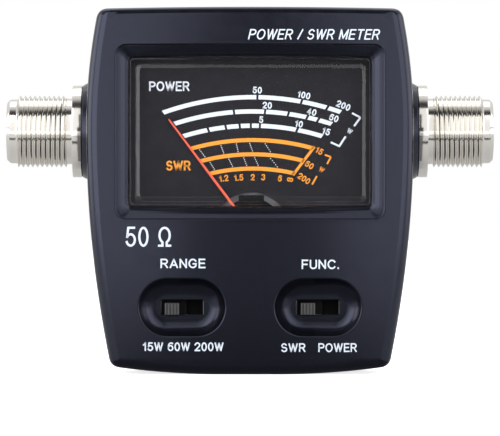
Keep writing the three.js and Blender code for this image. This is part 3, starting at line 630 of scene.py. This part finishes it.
def rear_shell():
    skin = Skin()
    lip, edge = shell_outside(skin, BACK_EDGE, lambda x: BACK, SEAM_REAR, 1)
    rims, sleeves = [], []
    for node in CASE_SCREWS:
        centre = screw_place(node)
        seat = [(3.4, BACK), *eased([(3.3, BACK), (3, BACK), (3, BACK - 2), (1.6, BACK - 2)], 0.2, 3)[1:]]
        bore = [(1.6, SEAM_REAR), (3.3, SEAM_REAR), (3.3, BACK - WALL)]
        loops = [skin.loop(raised(circle(radius, centre), y)) for radius, y in seat + bore]
        skin.bands(loops)
        rims.append(loops[0])
        sleeves.append(loops[-1])
    skin.sheet(edge, rims, lambda x: BACK, spacing=4)
    shell_inside(skin, sleeves, BACK - WALL, SEAM_REAR, 1, lip)
    return mesh_object("rear_shell_skin", skin, weighted=True)


def case_screw(node):
    """A pan-head screw with a cross recess, its head towards +Y."""
    x, z = screw_place(node)
    low, high = node_box(node)
    head, shank, rise, tip = 2.7, 1.3, high.y - low.y, 0.9
    seat = high.y - 1.5
    skin = Skin()
    dome = [(head, 0), (head, 0.55), (head - 0.18, 0.95), (head * 0.7, 1.3), (2.0, 1.42)]
    stem = [(0.35, 1.5 - rise), (shank, 1.5 - rise + tip), (shank, 0)]
    loops = [skin.loop(raised(circle(radius, (x, z)), seat + y)) for radius, y in stem + eased(dome, 0.2, 4)]
    skin.bands(loops)
    skin.sheet(loops[0])

    def cross(reach, half):
        arm = [(half, half), (half, reach), (-half, reach)]
        turned = []
        for quarter in range(4):
            c, s = cos(quarter * pi / 2), sin(quarter * pi / 2)
            turned += [(x + u * c - v * s, z + u * s + v * c) for u, v in arm]
        return turned

    rim = skin.loop(raised(cross(1.65, 0.36), seat + 1.42))
    deep = skin.loop(raised(cross(1.1, 0.24), seat + 0.5))
    skin.sheet(loops[-1], [rim])
    skin.band(rim, deep)
    skin.sheet(deep)
    return mesh_object(f"{node}_fine", skin)


settle(front_shell(), "case", "case_plastic", "front_shell")
settle(rear_shell(), "case", "case_plastic", "rear_shell")
for screw in CASE_SCREWS:
    settle(case_screw(screw), "case", "screw_zinc", screw)

# ---------- the sockets

SOCKET = Sizes(
    face=37.3,
    flange=10.2,
    flange_end=39.4,
    neck=7.3,
    crest=7.94,
    root=7.32,
    pitch=25.4 / 24,
    thread_start=40.7,
    thread_end=51.6,
    tip=7.1,
    end=54,
    bore=5.4,
    inner_end=30,
    shank=6,
)
NOTCH_HALF = radians(7)
NOTCH_DEPTH = 1.0


def socket_turns():
    """Angles round a socket, with close pairs at the notches' walls."""
    turns = {round(2 * pi * i / 96, 6) for i in range(96)}
    for quarter in range(4):
        for wall in (-NOTCH_HALF, NOTCH_HALF):
            for nudge in (-0.002, 0.002):
                turns.add(round((quarter * pi / 2 + wall + nudge) % (2 * pi), 6))
    return sorted(turns)


def in_notch(turn):
    quarter = pi / 2
    return abs((turn + quarter / 2) % quarter - quarter / 2) < NOTCH_HALF


def socket_body(name, side):
    skin = Skin()
    turns = socket_turns()
    s = SOCKET

    def place(along, radius, turn):
        if in_notch(turn):
            along = min(along, s.end - NOTCH_DEPTH)
        return side * along, SOCKET_Y + radius * cos(turn), SOCKET_Z + radius * sin(turn)

    def ring(along, radius):
        return skin.loop([place(along, radius, turn) for turn in turns])

    def thread_ring(share, radius, turn_number):
        """One line of the thread, which climbs a pitch in each turn and fades at both ends."""
        points = []
        for turn in turns:
            along = s.thread_start + s.pitch * (turn_number + share + turn / (2 * pi))
            kept = min(max(along, s.thread_start), s.thread_end)
            points.append(place(kept, radius if kept == along else s.root, turn))
        return skin.loop(points)

    body = eased([
        (s.inner_end, s.bore),
        (s.inner_end, s.shank),
        (s.face, s.shank),
        (s.face, s.flange),
        (s.flange_end, s.flange),
        (s.flange_end, s.neck),
        (s.thread_start, s.neck),
    ], 0.22, 3)
    loops = [ring(*point) for point in body]
    skin.bands(loops)

    # The thread's lines join each turn's end to the next turn's start, so its bands are open.
    turn_count = ceil((s.thread_end - s.thread_start) / s.pitch)
    depth = s.crest - s.root
    flank = [(0, 0), (0.08, 0), (0.2, 0.25), (0.42, 0.88), (0.47, 1)]
    tooth = flank + [(0.57, 1), (0.62, 0.88), (0.84, 0.25), (0.96, 0)]
    lines = []
    for turn_number in range(-1, turn_count + 1):
        for share, height in tooth:
            lines.append(thread_ring(share, s.root + depth * height, turn_number))
    skin.bands(lines, closed=False)
    per_turn = len(tooth)
    for i in range(len(lines) - per_turn - 1):
        skin.add(lines[i + per_turn][0], lines[i + per_turn + 1][0], lines[i + 1][-1], lines[i][-1])
    start = ring(s.thread_start, s.root)
    end = ring(s.thread_end, s.root)
    skin.band(loops[-1], start)
    tip = eased([
        (s.thread_end, s.root),
        (s.thread_end + 0.25, s.tip),
        (s.end - 0.7, s.tip),
        (s.end, s.tip - 0.65),
        (s.end, s.bore + 0.25),
        (s.end - 0.3, s.bore),
        (s.inner_end, s.bore),
    ], 0.12, 3)
    tip_loops = [end] + [ring(*point) for point in tip[1:-1]] + [loops[0]]
    skin.bands(tip_loops)
    return mesh_object(name, skin, smooth=30)


def turned_piece(name, side, profile):
    """A piece turned about the sockets' axis from a closed (along, radius) profile."""
    skin = Skin()
    steps = 64
    turns = [2 * pi * i / steps for i in range(steps)]
    closed = eased([*profile, profile[0], profile[1]], 0.08, 3)[1:]
    skin.bands([
        skin.loop([(side * along, SOCKET_Y + r * cos(t), SOCKET_Z + r * sin(t)) for t in turns])
        for along, r in closed
    ])
    return mesh_object(name, skin)


def socket_insulator(name, side):
    inner, outer, end = 2.7, SOCKET.bore - 0.1, SOCKET.end - 1.3
    profile = [(29.4, inner), (29.4, outer), (end, outer), (end, outer - 1), (end - 0.35, outer - 1.1),
               (end - 0.35, outer - 1.5), (end, outer - 1.6), (end, inner)]
    return turned_piece(name, side, profile)


def socket_contact(name, side):
    end = SOCKET.end - 1.1
    profile = [(25, 0.4), (25, 1.5), (29, 1.5), (29, 2.6), (end - 0.25, 2.6), (end, 2.35), (end, 2.15),
               (end - 0.4, 2), (end - 12, 2), (end - 12, 0.4)]
    return turned_piece(name, side, profile)


for prefix, side in (("tx", -1), ("ant", 1)):
    for part, make, slot in (
        ("socket_body", socket_body, "socket_nickel"),
        ("socket_insulator", socket_insulator, "socket_insulator"),
        ("socket_contact", socket_contact, "contact_brass"),
    ):
        node = f"{prefix}_{part}"
        settle(make(f"{node}_fine", side), "case", slot, node)

# ---------- the window

PANE = Sizes(width=24.45, height=14.25, corner=0.5, x=0.2, z=53, bevel=0.72)
LEDGE_Y = WINDOW_FRONT + 0.8
FLANGE_LOW, FLANGE_HIGH = node_box("meter_window")


def meter_window():
    """The clear moulding: a flange behind the case's wall, a ledge in the well and the raised pane."""
    skin = Skin()
    ledge = Sizes(width=WELL.width - WELL.slope - 0.1, height=WELL.height - WELL.slope - 0.1)
    flange = (FLANGE_HIGH.x - FLANGE_LOW.x) / 2, (FLANGE_HIGH.z - FLANGE_LOW.z) / 2
    flange_middle = (FLANGE_HIGH.x + FLANGE_LOW.x) / 2, (FLANGE_HIGH.z + FLANGE_LOW.z) / 2

    def pane_outline(grow):
        size = PANE.width + grow, PANE.height + grow
        return rounded_rect(*size, PANE.corner + grow, (PANE.x, PANE.z))

    def ledge_outline(inset):
        return rounded_rect(ledge.width - inset, ledge.height - inset, 1 - inset, (0, WELL.z))

    back_y = FLANGE_HIGH.y
    flange_outline = rounded_rect(*flange, 1, flange_middle)
    back, front = (skin.loop(raised(flange_outline, y)) for y in (back_y, FRONT_WALL_BACK + 0.25))
    skin.sheet(back)
    skin.band(back, front)
    step = eased([(0, FRONT_WALL_BACK + 0.25), (0, LEDGE_Y), (0.4, LEDGE_Y)], 0.22, 4)
    edge = [skin.loop(raised(ledge_outline(inset), y)) for inset, y in step]
    skin.sheet(front, [edge[0]])
    skin.bands(edge)
    slope = eased([
        (PANE.bevel + 0.3, LEDGE_Y), (PANE.bevel, LEDGE_Y), (PANE.bevel, LEDGE_Y - 0.47),
        (0, WINDOW_FRONT), (-0.3, WINDOW_FRONT),
    ], 0.08, 3)
    rise = [skin.loop(raised(pane_outline(grow), y)) for grow, y in slope]
    skin.sheet(edge[-1], [rise[0]])
    skin.bands(rise)
    skin.sheet(rise[-1])
    return mesh_object("meter_window_fine", skin, weighted=True)


settle(meter_window(), "case", "window_acrylic", "meter_window")

# ---------- the dial

CUTOUT = 8.2
INK = 0.03  # how far the printing stands proud
INK_ROOT = 0.01  # how far it reaches into what it is printed on
INK_Y = DIAL_Y - INK


def polar(radius, tilt):
    """The (x, z) point this far from the pivot, `tilt` degrees right of upright."""
    angle = radians(tilt)
    return PIVOT.x + radius * sin(angle), PIVOT.z + radius * cos(angle)


def dial_plate():
    """The painted plate, bare along the edge that was cut out round the movement."""
    skin = Skin()

    def outline(inset):
        left, right = DIAL_LOW.x + inset, DIAL_HIGH.x - inset
        low, high = DIAL_LOW.z + inset, DIAL_HIGH.z - inset
        radius = CUTOUT + inset
        turn = degrees(acos((low - PIVOT.z) / radius))
        notch = [polar(radius, t) for t in spread(-turn, turn, 41)]
        return [(left, low), *notch, (right, low), (right, high), (left, high)]

    thickness = DIAL_HIGH.y - DIAL_LOW.y
    front = skin.loop(raised(outline(0.16), DIAL_Y))
    edge = skin.loop(raised(outline(0), DIAL_Y + 0.12))
    back = skin.loop(raised(outline(0), DIAL_Y + thickness))
    skin.sheet(front)
    skin.sheet(back)
    skin.paint = 1
    skin.bands([front, edge, back])
    return mesh_object("dial_plate_fine", skin)


settle(dial_plate(), "case", "dial_paint", "dial_plate", paints=["dial_paint", "bare_aluminium"])

# Each scale is an arc of its own, flatter than the needle's sweep. From the top down there are three
# white ones, then three orange ones.
ARC_X = PIVOT.x + 0.3
TOP_ARC = 60.95
ARC_STEP = 3.15
SCALE_START, SCALE_END = -36.2, 37.2
POWER_SCALES = [  # radius, the needle's angle at the left end, and its angles at the marks
    (58.8, -37, [2.6, 21.4, 31.9]),
    (56.0, -35.9, [-8.4, 6.6, 17.7, 26.4, 31.3]),
    (51.8, -35.9, [-23.3, -14.0, -6.4, -0.3, 4.7, 24.6]),
]
SWR_RADII = [49.3, 44.1, 39.9]
SWR_GUIDES = [  # needle angles at the two ends of each dotted guide
    [(-32.9, -32.5), (-19.9, -19.8), (-9.9, -9.6), (-1.1, 0.8), (9.2, 13.6)],
    [(-31.5, -31.5), (-17.7, -16.5), (-6.0, -4.2), (2.7, 6.0), (15.2, 22.4)],
]
WHITE_LINE = 0.96
ORANGE_LINE = 0.88
MARK_GAP = 0.47
GUIDE_END = 0.75  # from an orange arc's middle line to the last dot of a guide
DOT_RADIUS = 0.115


def arc_top(index):
    return TOP_ARC - ARC_STEP * index


def arc_point(top, radius, tilt, offset=0.0):
    """Where the needle at this angle crosses an arc, `offset` outside the arc's middle line."""
    angle = radians(tilt)
    aim = Vector((sin(angle), cos(angle)))
    start = Vector((PIVOT.x - ARC_X, PIVOT.z - (top - radius)))
    along = start.dot(aim)
    reach = -along + sqrt(along**2 - start.length_squared + (radius + offset) ** 2)
    return PIVOT.x + reach * aim.x, PIVOT.z + reach * aim.y


def arc_band(skin, top, radius, width, start, end):
    """One printed stretch of an arc between two needle angles."""
    steps = max(4, int(abs(end - start)))
    turns = spread(start, end, steps)
    outer = [arc_point(top, radius, t, width / 2) for t in turns]
    inner = [arc_point(top, radius, t, -width / 2) for t in reversed(turns)]
    skin.solid(outer + inner, INK_Y, DIAL_Y + INK_ROOT)


def dial_face(x):
    return DIAL_Y


def runs(points):
    """Cuts a path at its sharp corners."""
    run = [Vector(points[0])]
    for here, following in zip(points[1:], [*points[2:], None]):
        run.append(Vector(here))
        if following and (run[-1] - run[-2]).angle(Vector(following) - run[-1]) > radians(95):
            yield run
            run = [Vector(here)]
    yield run


def stroke(skin, points, width, surface=dial_face, lift=INK, cap=0.0):
    """A printed line through (x, z) points, just proud of the surface; `cap` lengthens its ends."""
    for path in runs(points):
        closed = (path[0] - path[-1]).length < 1e-6
        if closed:
            path.pop()
        else:
            path[0] = path[0] + (path[0] - path[1]).normalized() * cap
            path[-1] = path[-1] + (path[-1] - path[-2]).normalized() * cap
        rings = []
        for i, point in enumerate(path):
            before = (point - path[i - 1]).normalized() if i or closed else None
            last = i + 1 == len(path) and not closed
            after = None if last else (path[(i + 1) % len(path)] - point).normalized()
            before, after = before or after, after or before
            aim = (before + after).normalized()
            aside = Vector((-aim.y, aim.x)) * (width / 2 / aim.dot(before))
            edges = (point + aside, point - aside)
            front = [(edge.x, surface(edge.x) - lift, edge.y) for edge in edges]
            back = [(edge.x, surface(edge.x) + INK_ROOT, edge.y) for edge in reversed(edges)]
            rings.append(skin.loop(front + back))
        skin.bands(rings + rings[:1] if closed else rings)
        if not closed:
            skin.add(*rings[0])
            skin.add(*rings[-1])


def arc(x, y, reach_x, reach_y, start, end, steps=14):
    turns = [radians(t) for t in spread(start, end, steps + 1)]
    return [(x + reach_x * cos(t), y + reach_y * sin(t)) for t in turns]


# The middle lines of each character's strokes, in a box one unit high, after the box's width.
BOWL = arc(0.34, 0.74, 0.26, 0.26, 90, -90)
GLYPHS = {
    " ": (0.16, []),
    ".": (0.02, [[(0.01, 0), (0.01, 0.06)]]),
    "/": (0.3, [[(0, 0), (0.3, 1)]]),
    "0": (0.54, [arc(0.27, 0.5, 0.27, 0.5, 90, 450, 28)]),
    "1": (0.3, [[(0, 0.74), (0.16, 0.79), (0.25, 1), (0.25, 0)]]),
    "2": (0.56, [[*arc(0.28, 0.72, 0.28, 0.28, 175, -35), (0, 0), (0.57, 0)]]),
    "3": (0.56, [arc(0.28, 0.75, 0.25, 0.25, 160, -80), arc(0.28, 0.27, 0.28, 0.27, 80, -160)]),
    "4": (0.6, [[(0.44, 0), (0.44, 1), (0, 0.27), (0.62, 0.27)]]),
    "5": (0.56, [[(0.52, 1), (0.12, 1), (0.05, 0.48), *arc(0.28, 0.32, 0.28, 0.32, 130, -160)]]),
    "6": (0.56, [arc(0.28, 0.32, 0.28, 0.32, 90, 450, 22), [*arc(0.34, 0.5, 0.34, 0.5, 55, 180), (0, 0.32)]]),
    "A": (0.7, [[(0, 0), (0.35, 1), (0.7, 0)], [(0.13, 0.3), (0.57, 0.3)]]),
    "C": (0.68, [arc(0.36, 0.5, 0.36, 0.5, 38, 322, 22)]),
    "E": (0.54, [[(0.54, 1), (0, 1), (0, 0), (0.56, 0)], [(0, 0.52), (0.5, 0.52)]]),
    "F": (0.5, [[(0.52, 1), (0, 1), (0, 0)], [(0, 0.5), (0.46, 0.5)]]),
    "G": (0.72, [[*arc(0.37, 0.5, 0.37, 0.5, 38, 318, 22), (0.7, 0.46), (0.4, 0.46)]]),
    "M": (0.76, [[(0, 0), (0, 1), (0.38, 0.08), (0.76, 1), (0.76, 0)]]),
    "N": (0.6, [[(0, 0), (0, 1), (0.6, 0), (0.6, 1)]]),
    "O": (0.76, [arc(0.38, 0.5, 0.38, 0.5, 90, 450, 30)]),
    "P": (0.58, [[(0, 0), (0, 1), *BOWL, (0, 0.48)]]),
    "R": (0.62, [[(0, 0), (0, 1), *BOWL, (0, 0.48)], [(0.33, 0.48), (0.62, 0)]]),
    "S": (0.58, [[*arc(0.29, 0.745, 0.26, 0.255, 25, 250, 12), *arc(0.29, 0.26, 0.29, 0.26, 70, -155, 12)]]),
    "T": (0.6, [[(0, 1), (0.6, 1)], [(0.3, 1), (0.3, 0)]]),
    "U": (0.58, [[(0, 1), *arc(0.29, 0.29, 0.29, 0.29, 180, 360), (0.58, 1)]]),
    "W": (0.96, [[(0, 1), (0.25, 0), (0.48, 1), (0.71, 0), (0.96, 1)]]),
    "\u03a9": (0.76, [[(0, 0), (0.24, 0), *arc(0.38, 0.58, 0.34, 0.42, 245, -65, 24), (0.52, 0), (0.76, 0)]]),
    "\u221e": (1.0, [arc(0.24, 0.5, 0.24, 0.3, 0, 360, 20), arc(0.74, 0.5, 0.24, 0.3, 180, 540, 20)]),
}


def lettering(skin, text, centre, height, width=None, weight=0.17, gap=0.3, tilt=0.0, slant=0.0, **print_on):
    """Prints text round its centre; `weight` is the strokes' share of its height."""
    line = weight * height
    starts = list(accumulate((GLYPHS[character][0] + gap for character in text), initial=0))
    total = starts.pop() - gap
    scale = height - line
    stretch = (width - line) / (total * scale) if width else 1
    turn = radians(tilt)
    for character, start in zip(text, starts):
        for path in GLYPHS[character][1]:
            points = []
            for x, y in path:
                u = ((start + x) - total / 2) * scale * stretch + (y - 0.5) * scale * slant
                v = (y - 0.5) * scale
                points.append((
                    centre[0] + u * cos(turn) + v * sin(turn),
                    centre[1] - u * sin(turn) + v * cos(turn),
                ))
            stroke(skin, points, line, cap=0.4 * line, **print_on)


def white_printing():
    skin = Skin()
    for i, (radius, first, marks) in enumerate(POWER_SCALES):
        half_gap = degrees(MARK_GAP / 2 / (arc_top(i) - PIVOT.z))
        stops = [first - half_gap, *marks, SCALE_END + half_gap]
        for start, end in zip(stops, stops[1:]):
            arc_band(skin, arc_top(i), radius, WHITE_LINE, start + half_gap, end - half_gap)
    for outer_i, guides in enumerate(SWR_GUIDES):
        for angles in guides:
            ends = [
                Vector(arc_point(arc_top(3 + i), SWR_RADII[i], angle, side * GUIDE_END))
                for i, angle, side in zip((outer_i, outer_i + 1), angles, (-1, 1))
            ]
            for share in (0.0, 0.25, 0.5, 0.75, 1.0):
                dot = circle(DOT_RADIUS, ends[0].lerp(ends[1], share), 10)
                skin.solid(dot, INK_Y, DIAL_Y + INK_ROOT)
    for text, place, tilt in (
        ("50", (1.6, 62.5), 2), ("100", (11.9, 61.4), 12), ("200", (20.6, 59.1), 22),
        ("20", (3.8, 59.15), 4), ("40", (13.6, 57.7), 14), ("60", (18.5, 56.35), 20),
        ("5", (2.45, 56.0), 3), ("10", (10.8, 55.05), 12), ("15", (16.8, 53.4), 20),
    ):
        lettering(skin, text, place, 1.5, weight=0.19, gap=0.36, tilt=tilt)
    lettering(skin, "POWER", (-17.8, 63.35), 2.15, 8.9, weight=0.16)
    lettering(skin, "W", (22.0, 53.45), 1.15, weight=0.2, tilt=33)
    stroke(skin, [(22.5, 57.45), (24.35, 56.45), (22.95, 54.55)], 0.42)
    stroke(skin, [(21.1, 52.3), (19.7, 50.15), (17.8, 51.0)], 0.42)
    return mesh_object("dial_white_printing", skin)


def orange_printing():
    skin = Skin()
    for i, radius in enumerate(SWR_RADII):
        arc_band(skin, arc_top(3 + i), radius, ORANGE_LINE, SCALE_START, SCALE_END)
    ends = [
        arc_point(arc_top(3 + i), SWR_RADII[i], SCALE_END, side * ORANGE_LINE / 2)
        for i, side in ((0, 1), (2, -1))
    ]
    stroke(skin, ends, 0.6)
    for text, place, tilt in (
        ("1.2", (-5.8, 43.05), -7), ("1.5", (-2.5, 43.2), -3), ("2", (0.6, 43.3), 1), ("3", (2.9, 43.3), 3),
        ("6", (6.6, 43.05), 7), ("\u221e", (8.85, 42.75), 10), ("15", (15.3, 49.1), 32),
        ("60", (13.1, 46.0), 32), ("200", (11.9, 43.0), 34),
    ):
        lettering(skin, text, place, 1.4, weight=0.18, gap=0.34, tilt=tilt)
    lettering(skin, "SWR", (-15.8, 45.85), 2.2, 5.4, weight=0.175)
    lettering(skin, "W", (15.8, 44.95), 1.15, weight=0.2, tilt=33)
    stroke(skin, [(16.5, 48.25), (17.85, 47.75), (17.0, 46.2)], 0.36)
    stroke(skin, [(14.75, 43.55), (13.7, 41.7)], 0.36)
    return mesh_object("dial_orange_printing", skin)


settle(white_printing(), "case", "dial_paint", paints=["dial_white"])
settle(orange_printing(), "case", "dial_paint", paints=["dial_orange"])

# ---------- the needle


def needle():
    """A tapered blade with rounded shoulders, cranked back through the dial to its hub."""
    skin = Skin()
    length, crank, hub_y = 30.5, 4.0, -7.15
    point = [(length - 0.8, 0.2), (length - 0.25, 0.15), (length, 0.05)]
    stations = [(crank, 0.31), (8, 0.3), (16, 0.26), (24, 0.22), *point]
    thickness = 0.3
    loops = []
    for up, half in stations:
        shoulder = 0.09 if half > 0.1 else 0.03
        left = [(-half, thickness), (-half, shoulder), (-half * 0.45, 0)]
        section = left + [(-u, v) for u, v in reversed(left)]
        loops.append(skin.loop([(u, NEEDLE_Y + v, up) for u, v in section]))
    skin.bands(loops)
    skin.add(*loops[0])
    skin.add(*loops[-1])

    def slab(half, y0, y1, z0, z1):
        skin.solid([(-half, z0), (half, z0), (half, z1), (-half, z1)], y0, y1)

    slab(0.36, NEEDLE_Y + 0.05, hub_y + 0.3, crank, crank + 0.35)
    slab(0.36, hub_y, hub_y + 0.3, 1.2, crank + 0.35)
    slab(0.36, hub_y, hub_y + 0.3, -5.6, -1.2)
    slab(1.9, hub_y - 0.2, hub_y + 1.25, -6.8, -4)
    outer = circle(1.5, (0, 0), 32)
    hole = circle(0.45, (0, 0), 32)
    tube = ((outer, hub_y), (outer, hub_y + 0.3), (hole, hub_y + 0.3), (hole, hub_y))
    rings = [skin.loop(raised(outline, y)) for outline, y in tube]
    skin.bands([*rings, rings[0]])
    turn = Matrix.Rotation(-REST_ANGLE, 3, "Y")
    offset = Vector((PIVOT.x, 0, PIVOT.z))
    skin.points = [tuple(turn @ Vector(p) + offset) for p in skin.points]
    return mesh_object("needle_fine", skin)


settle(needle(), "pointer", "needle_paint", "needle")

# ---------- the switches


def switch_slider(name, node):
    """The ribbed knob and the carriage that it is moulded to."""
    low, high = node_box(node)
    middle = (low.x + high.x) / 2
    carriage_y = high.y - 3.4
    half, half_height, drop, ribs, groove = 1.56, 1.27, 0.33, 5, 0.6
    pitch = 2 * half / (2 * ribs - 1)
    skin = Skin()
    top = []
    for i in range(ribs):
        left = middle - half + 2 * i * pitch
        top += [(left, low.y + groove), (left, low.y), (left + pitch, low.y), (left + pitch, low.y + groove)]
    outline = [(middle - half, carriage_y + 0.3), *top[1:-1], (middle + half, carriage_y + 0.3)]
    z = DISH.z - drop
    ends = [skin.loop([(x, y, z + side * half_height) for x, y in outline]) for side in (-1, 1)]
    skin.band(ends[0], ends[1])
    for end in ends:
        skin.add(*end)
    skin.paint = 1
    skin.solid(rounded_rect((high.x - low.x) / 2, 2.4, 0.2, (middle, DISH.z), 2), carriage_y, high.y)
    return bevelled(mesh_object(name, skin), 0.07)


for prefix in ("range", "function"):
    node = f"{prefix}_switch_slider"
    paints = ["slider_plastic", "inner_plastic"]
    settle(switch_slider(f"{node}_fine", node), f"{prefix}_knob", "slider_plastic", node, paints=paints)

# ---------- the printing on the face


def face_printing():
    skin = Skin()
    for text, x0, x1, z0, z1, weight, slant in (
        ("POWER / SWR METER", -0.2, 28.4, 73.35, 75.65, 0.13, 0.24),
        ("50 \u03a9", -27.3, -17.2, 28.0, 32.4, 0.11, 0),
        ("RANGE", -19.6, -9.75, 23.3, 25.4, 0.16, 0),
        ("FUNC.", 11.3, 19.5, 23.1, 25.2, 0.16, 0),
        ("15W 60W 200W", -23.5, -5.8, 5.15, 7.1, 0.16, 0),
        ("SWR", 6.8, 12.15, 4.95, 6.9, 0.155, 0),
        ("POWER", 14.95, 23.4, 4.95, 6.9, 0.155, 0),
    ):
        middle = (x0 + x1) / 2, (z0 + z1) / 2
        lettering(skin, text, middle, z1 - z0, x1 - x0, weight, slant=slant, surface=face_y, lift=0.025)
    return mesh_object("face_printing", skin)


settle(face_printing(), "case", "case_plastic", paints=["face_print"])

# ---------- studio, camera and lights

VIEW_WIDTH = 109.4 * MM  # what the picture spans at the front face
DISTANCE = 1.0
EYE_Z = 34.3 * MM

REACH = 6  # metres of floor each way


def floor_plane(name, z, color, glow, unseen_by, reach_x=REACH, front=-REACH, back=REACH):
    """A pale or dark rectangle that the rays named in `unseen_by` pass through."""
    mesh = bpy.data.meshes.new(name)
    corners = [(-reach_x, front, z), (reach_x, front, z), (reach_x, back, z), (-reach_x, back, z)]
    mesh.from_pydata(corners, [], [(0, 1, 2, 3)])
    plane = scene_object(name, mesh)
    material, _, shader = fresh_material(name)
    set_inputs(shader, {
        "Base Color": (color, color, color, 1),
        "Roughness": 0.9,
        "Specular IOR Level": 0.1,
        "Emission Color": (1, 1, 1, 1),
        "Emission Strength": glow,
    })
    plane.data.materials.append(material)
    for ray in unseen_by:
        setattr(plane, f"visible_{ray}", False)


# One floor is what the picture shows; the other one, just under it, is what the object reflects.
floor_plane("floor", 0, 0.9, 0.78, ["glossy", "diffuse"])
floor_plane("floor_for_reflections", -0.0002, 0.85, 0, ["camera"])
# A dim flag between the two keeps most of the floor's light off the window's well and the finger dishes.
HIDDEN = ["camera", "diffuse", "shadow"]
floor_plane("flag", -0.0001, 0.01, 0.15, HIDDEN, 0.037, -0.3, -0.012)
# The thin dark line along the sockets is this strip's reflection.
floor_plane("strip", -0.00015, 0.002, 0, HIDDEN, 0.3, -0.114, -0.088)


def softbox(name, place, target, width, height, radiance):
    """A rectangular light that shines from `place` towards `target`, in metres."""
    light = bpy.data.lights.new(name, "AREA")
    light.shape = "RECTANGLE"
    light.size, light.size_y = width, height
    light.energy = radiance * width * height * pi
    lamp = scene_object(name, light)
    lamp.location = place
    lamp.rotation_euler = (Vector(target) - Vector(place)).to_track_quat("-Z", "Y").to_euler()
    lamp.visible_camera = False
    return lamp


def card(name, x0, x1, z0, z1, radiance):
    """An upright panel in front of the object, which its glossy parts reflect."""
    middle = (x0 + x1) / 2, CARD_Y, (z0 + z1) / 2
    return softbox(name, middle, (middle[0], 1, middle[2]), abs(x1 - x0), z1 - z0, radiance)


CARD_Y = -0.217
CARD_FOOT, CARD_STEP, CARD_TOP = 0.013, 0.086, 0.42
CARD_EDGE = 0.105  # the brighter outer part of each card starts here
for name, side, inner, inner_top, outer, radiance, side_radiance in (
    ("left_card", -1, 0.037, 0.016, 0.4, 1.18, 2.6),
    ("right_card", 1, 0.044, 0.022, 0.36, 1.05, 1.9),
):
    card(name, side * CARD_EDGE, side * inner, CARD_FOOT, CARD_TOP, radiance)
    card(f"{name}_top", side * inner, side * inner_top, CARD_STEP, CARD_TOP, radiance)
    card(f"{name}_side", side * outer, side * CARD_EDGE, CARD_FOOT, CARD_TOP, side_radiance)
card("bridge_card", -0.016, 0.022, 0.25, CARD_TOP, 1)
for name, side, radiance in (("left_panel", -1, 1.9), ("right_panel", 1, 1.3)):
    softbox(name, (side * 0.6, -0.02, 0.2), (0, -0.02, 0.2), 0.4, 0.4, radiance)
softbox("top_softbox", (0, 0.45, 0.9), (0, 0, 0), 1.0, 0.6, 1.2)
fill = softbox("front_fill", (0.1, -1.4, 0.45), (0, 0, 0.04), 1.0, 0.8, 7.4)
fill.visible_glossy = False


def build_world():
    """White behind the object, bright at the sides and the back, dim in front and straight above it."""
    world = bpy.data.worlds.new("studio")
    bpy.context.scene.world = world
    world.use_nodes = True
    tree = world.node_tree
    tree.nodes.clear()
    place = add_node(tree, "ShaderNodeTexCoord")
    split = add_node(tree, "ShaderNodeSeparateXYZ")
    sideways = add_node(tree, "ShaderNodeMath", {"operation": "ABSOLUTE"})
    brighter = add_node(tree, "ShaderNodeMath", {"operation": "MAXIMUM"})
    path = add_node(tree, "ShaderNodeLightPath")
    seen = add_node(tree, "ShaderNodeMix", {"data_type": "FLOAT"}, B=1)
    background = add_node(tree, "ShaderNodeBackground", Color=(1, 1, 1, 1))
    output = add_node(tree, "ShaderNodeOutputWorld")
    from_side = remapped(tree, sideways.outputs["Value"], 0.05, 0.85, 0.72, 0.95, "SMOOTHSTEP")
    from_back = remapped(tree, split.outputs["Y"], 0.05, 0.85, -0.3, 0.05, "SMOOTHSTEP")
    wire(
        tree,
        (place.outputs["Generated"], split.inputs["Vector"]),
        (split.outputs["X"], sideways.inputs[0]),
        (from_side, brighter.inputs[0]),
        (from_back, brighter.inputs[1]),
        (path.outputs["Is Camera Ray"], seen.inputs["Factor"]),
        (brighter.outputs["Value"], seen.inputs["A"]),
        (seen.outputs["Result"], background.inputs["Strength"]),
        (background.outputs["Background"], output.inputs["Surface"]),
    )


build_world()

camera_data = bpy.data.cameras.new("camera")
camera_data.sensor_width = 36
camera_data.lens = camera_data.sensor_width * DISTANCE / VIEW_WIDTH
camera_data.clip_start = 0.01
camera = scene_object("camera", camera_data)
camera.location = (0, FRONT * MM - DISTANCE, EYE_Z)
camera.rotation_euler = (pi / 2, 0, 0)
bpy.context.scene.camera = camera
bpy.context.scene.view_settings.view_transform = "Standard"
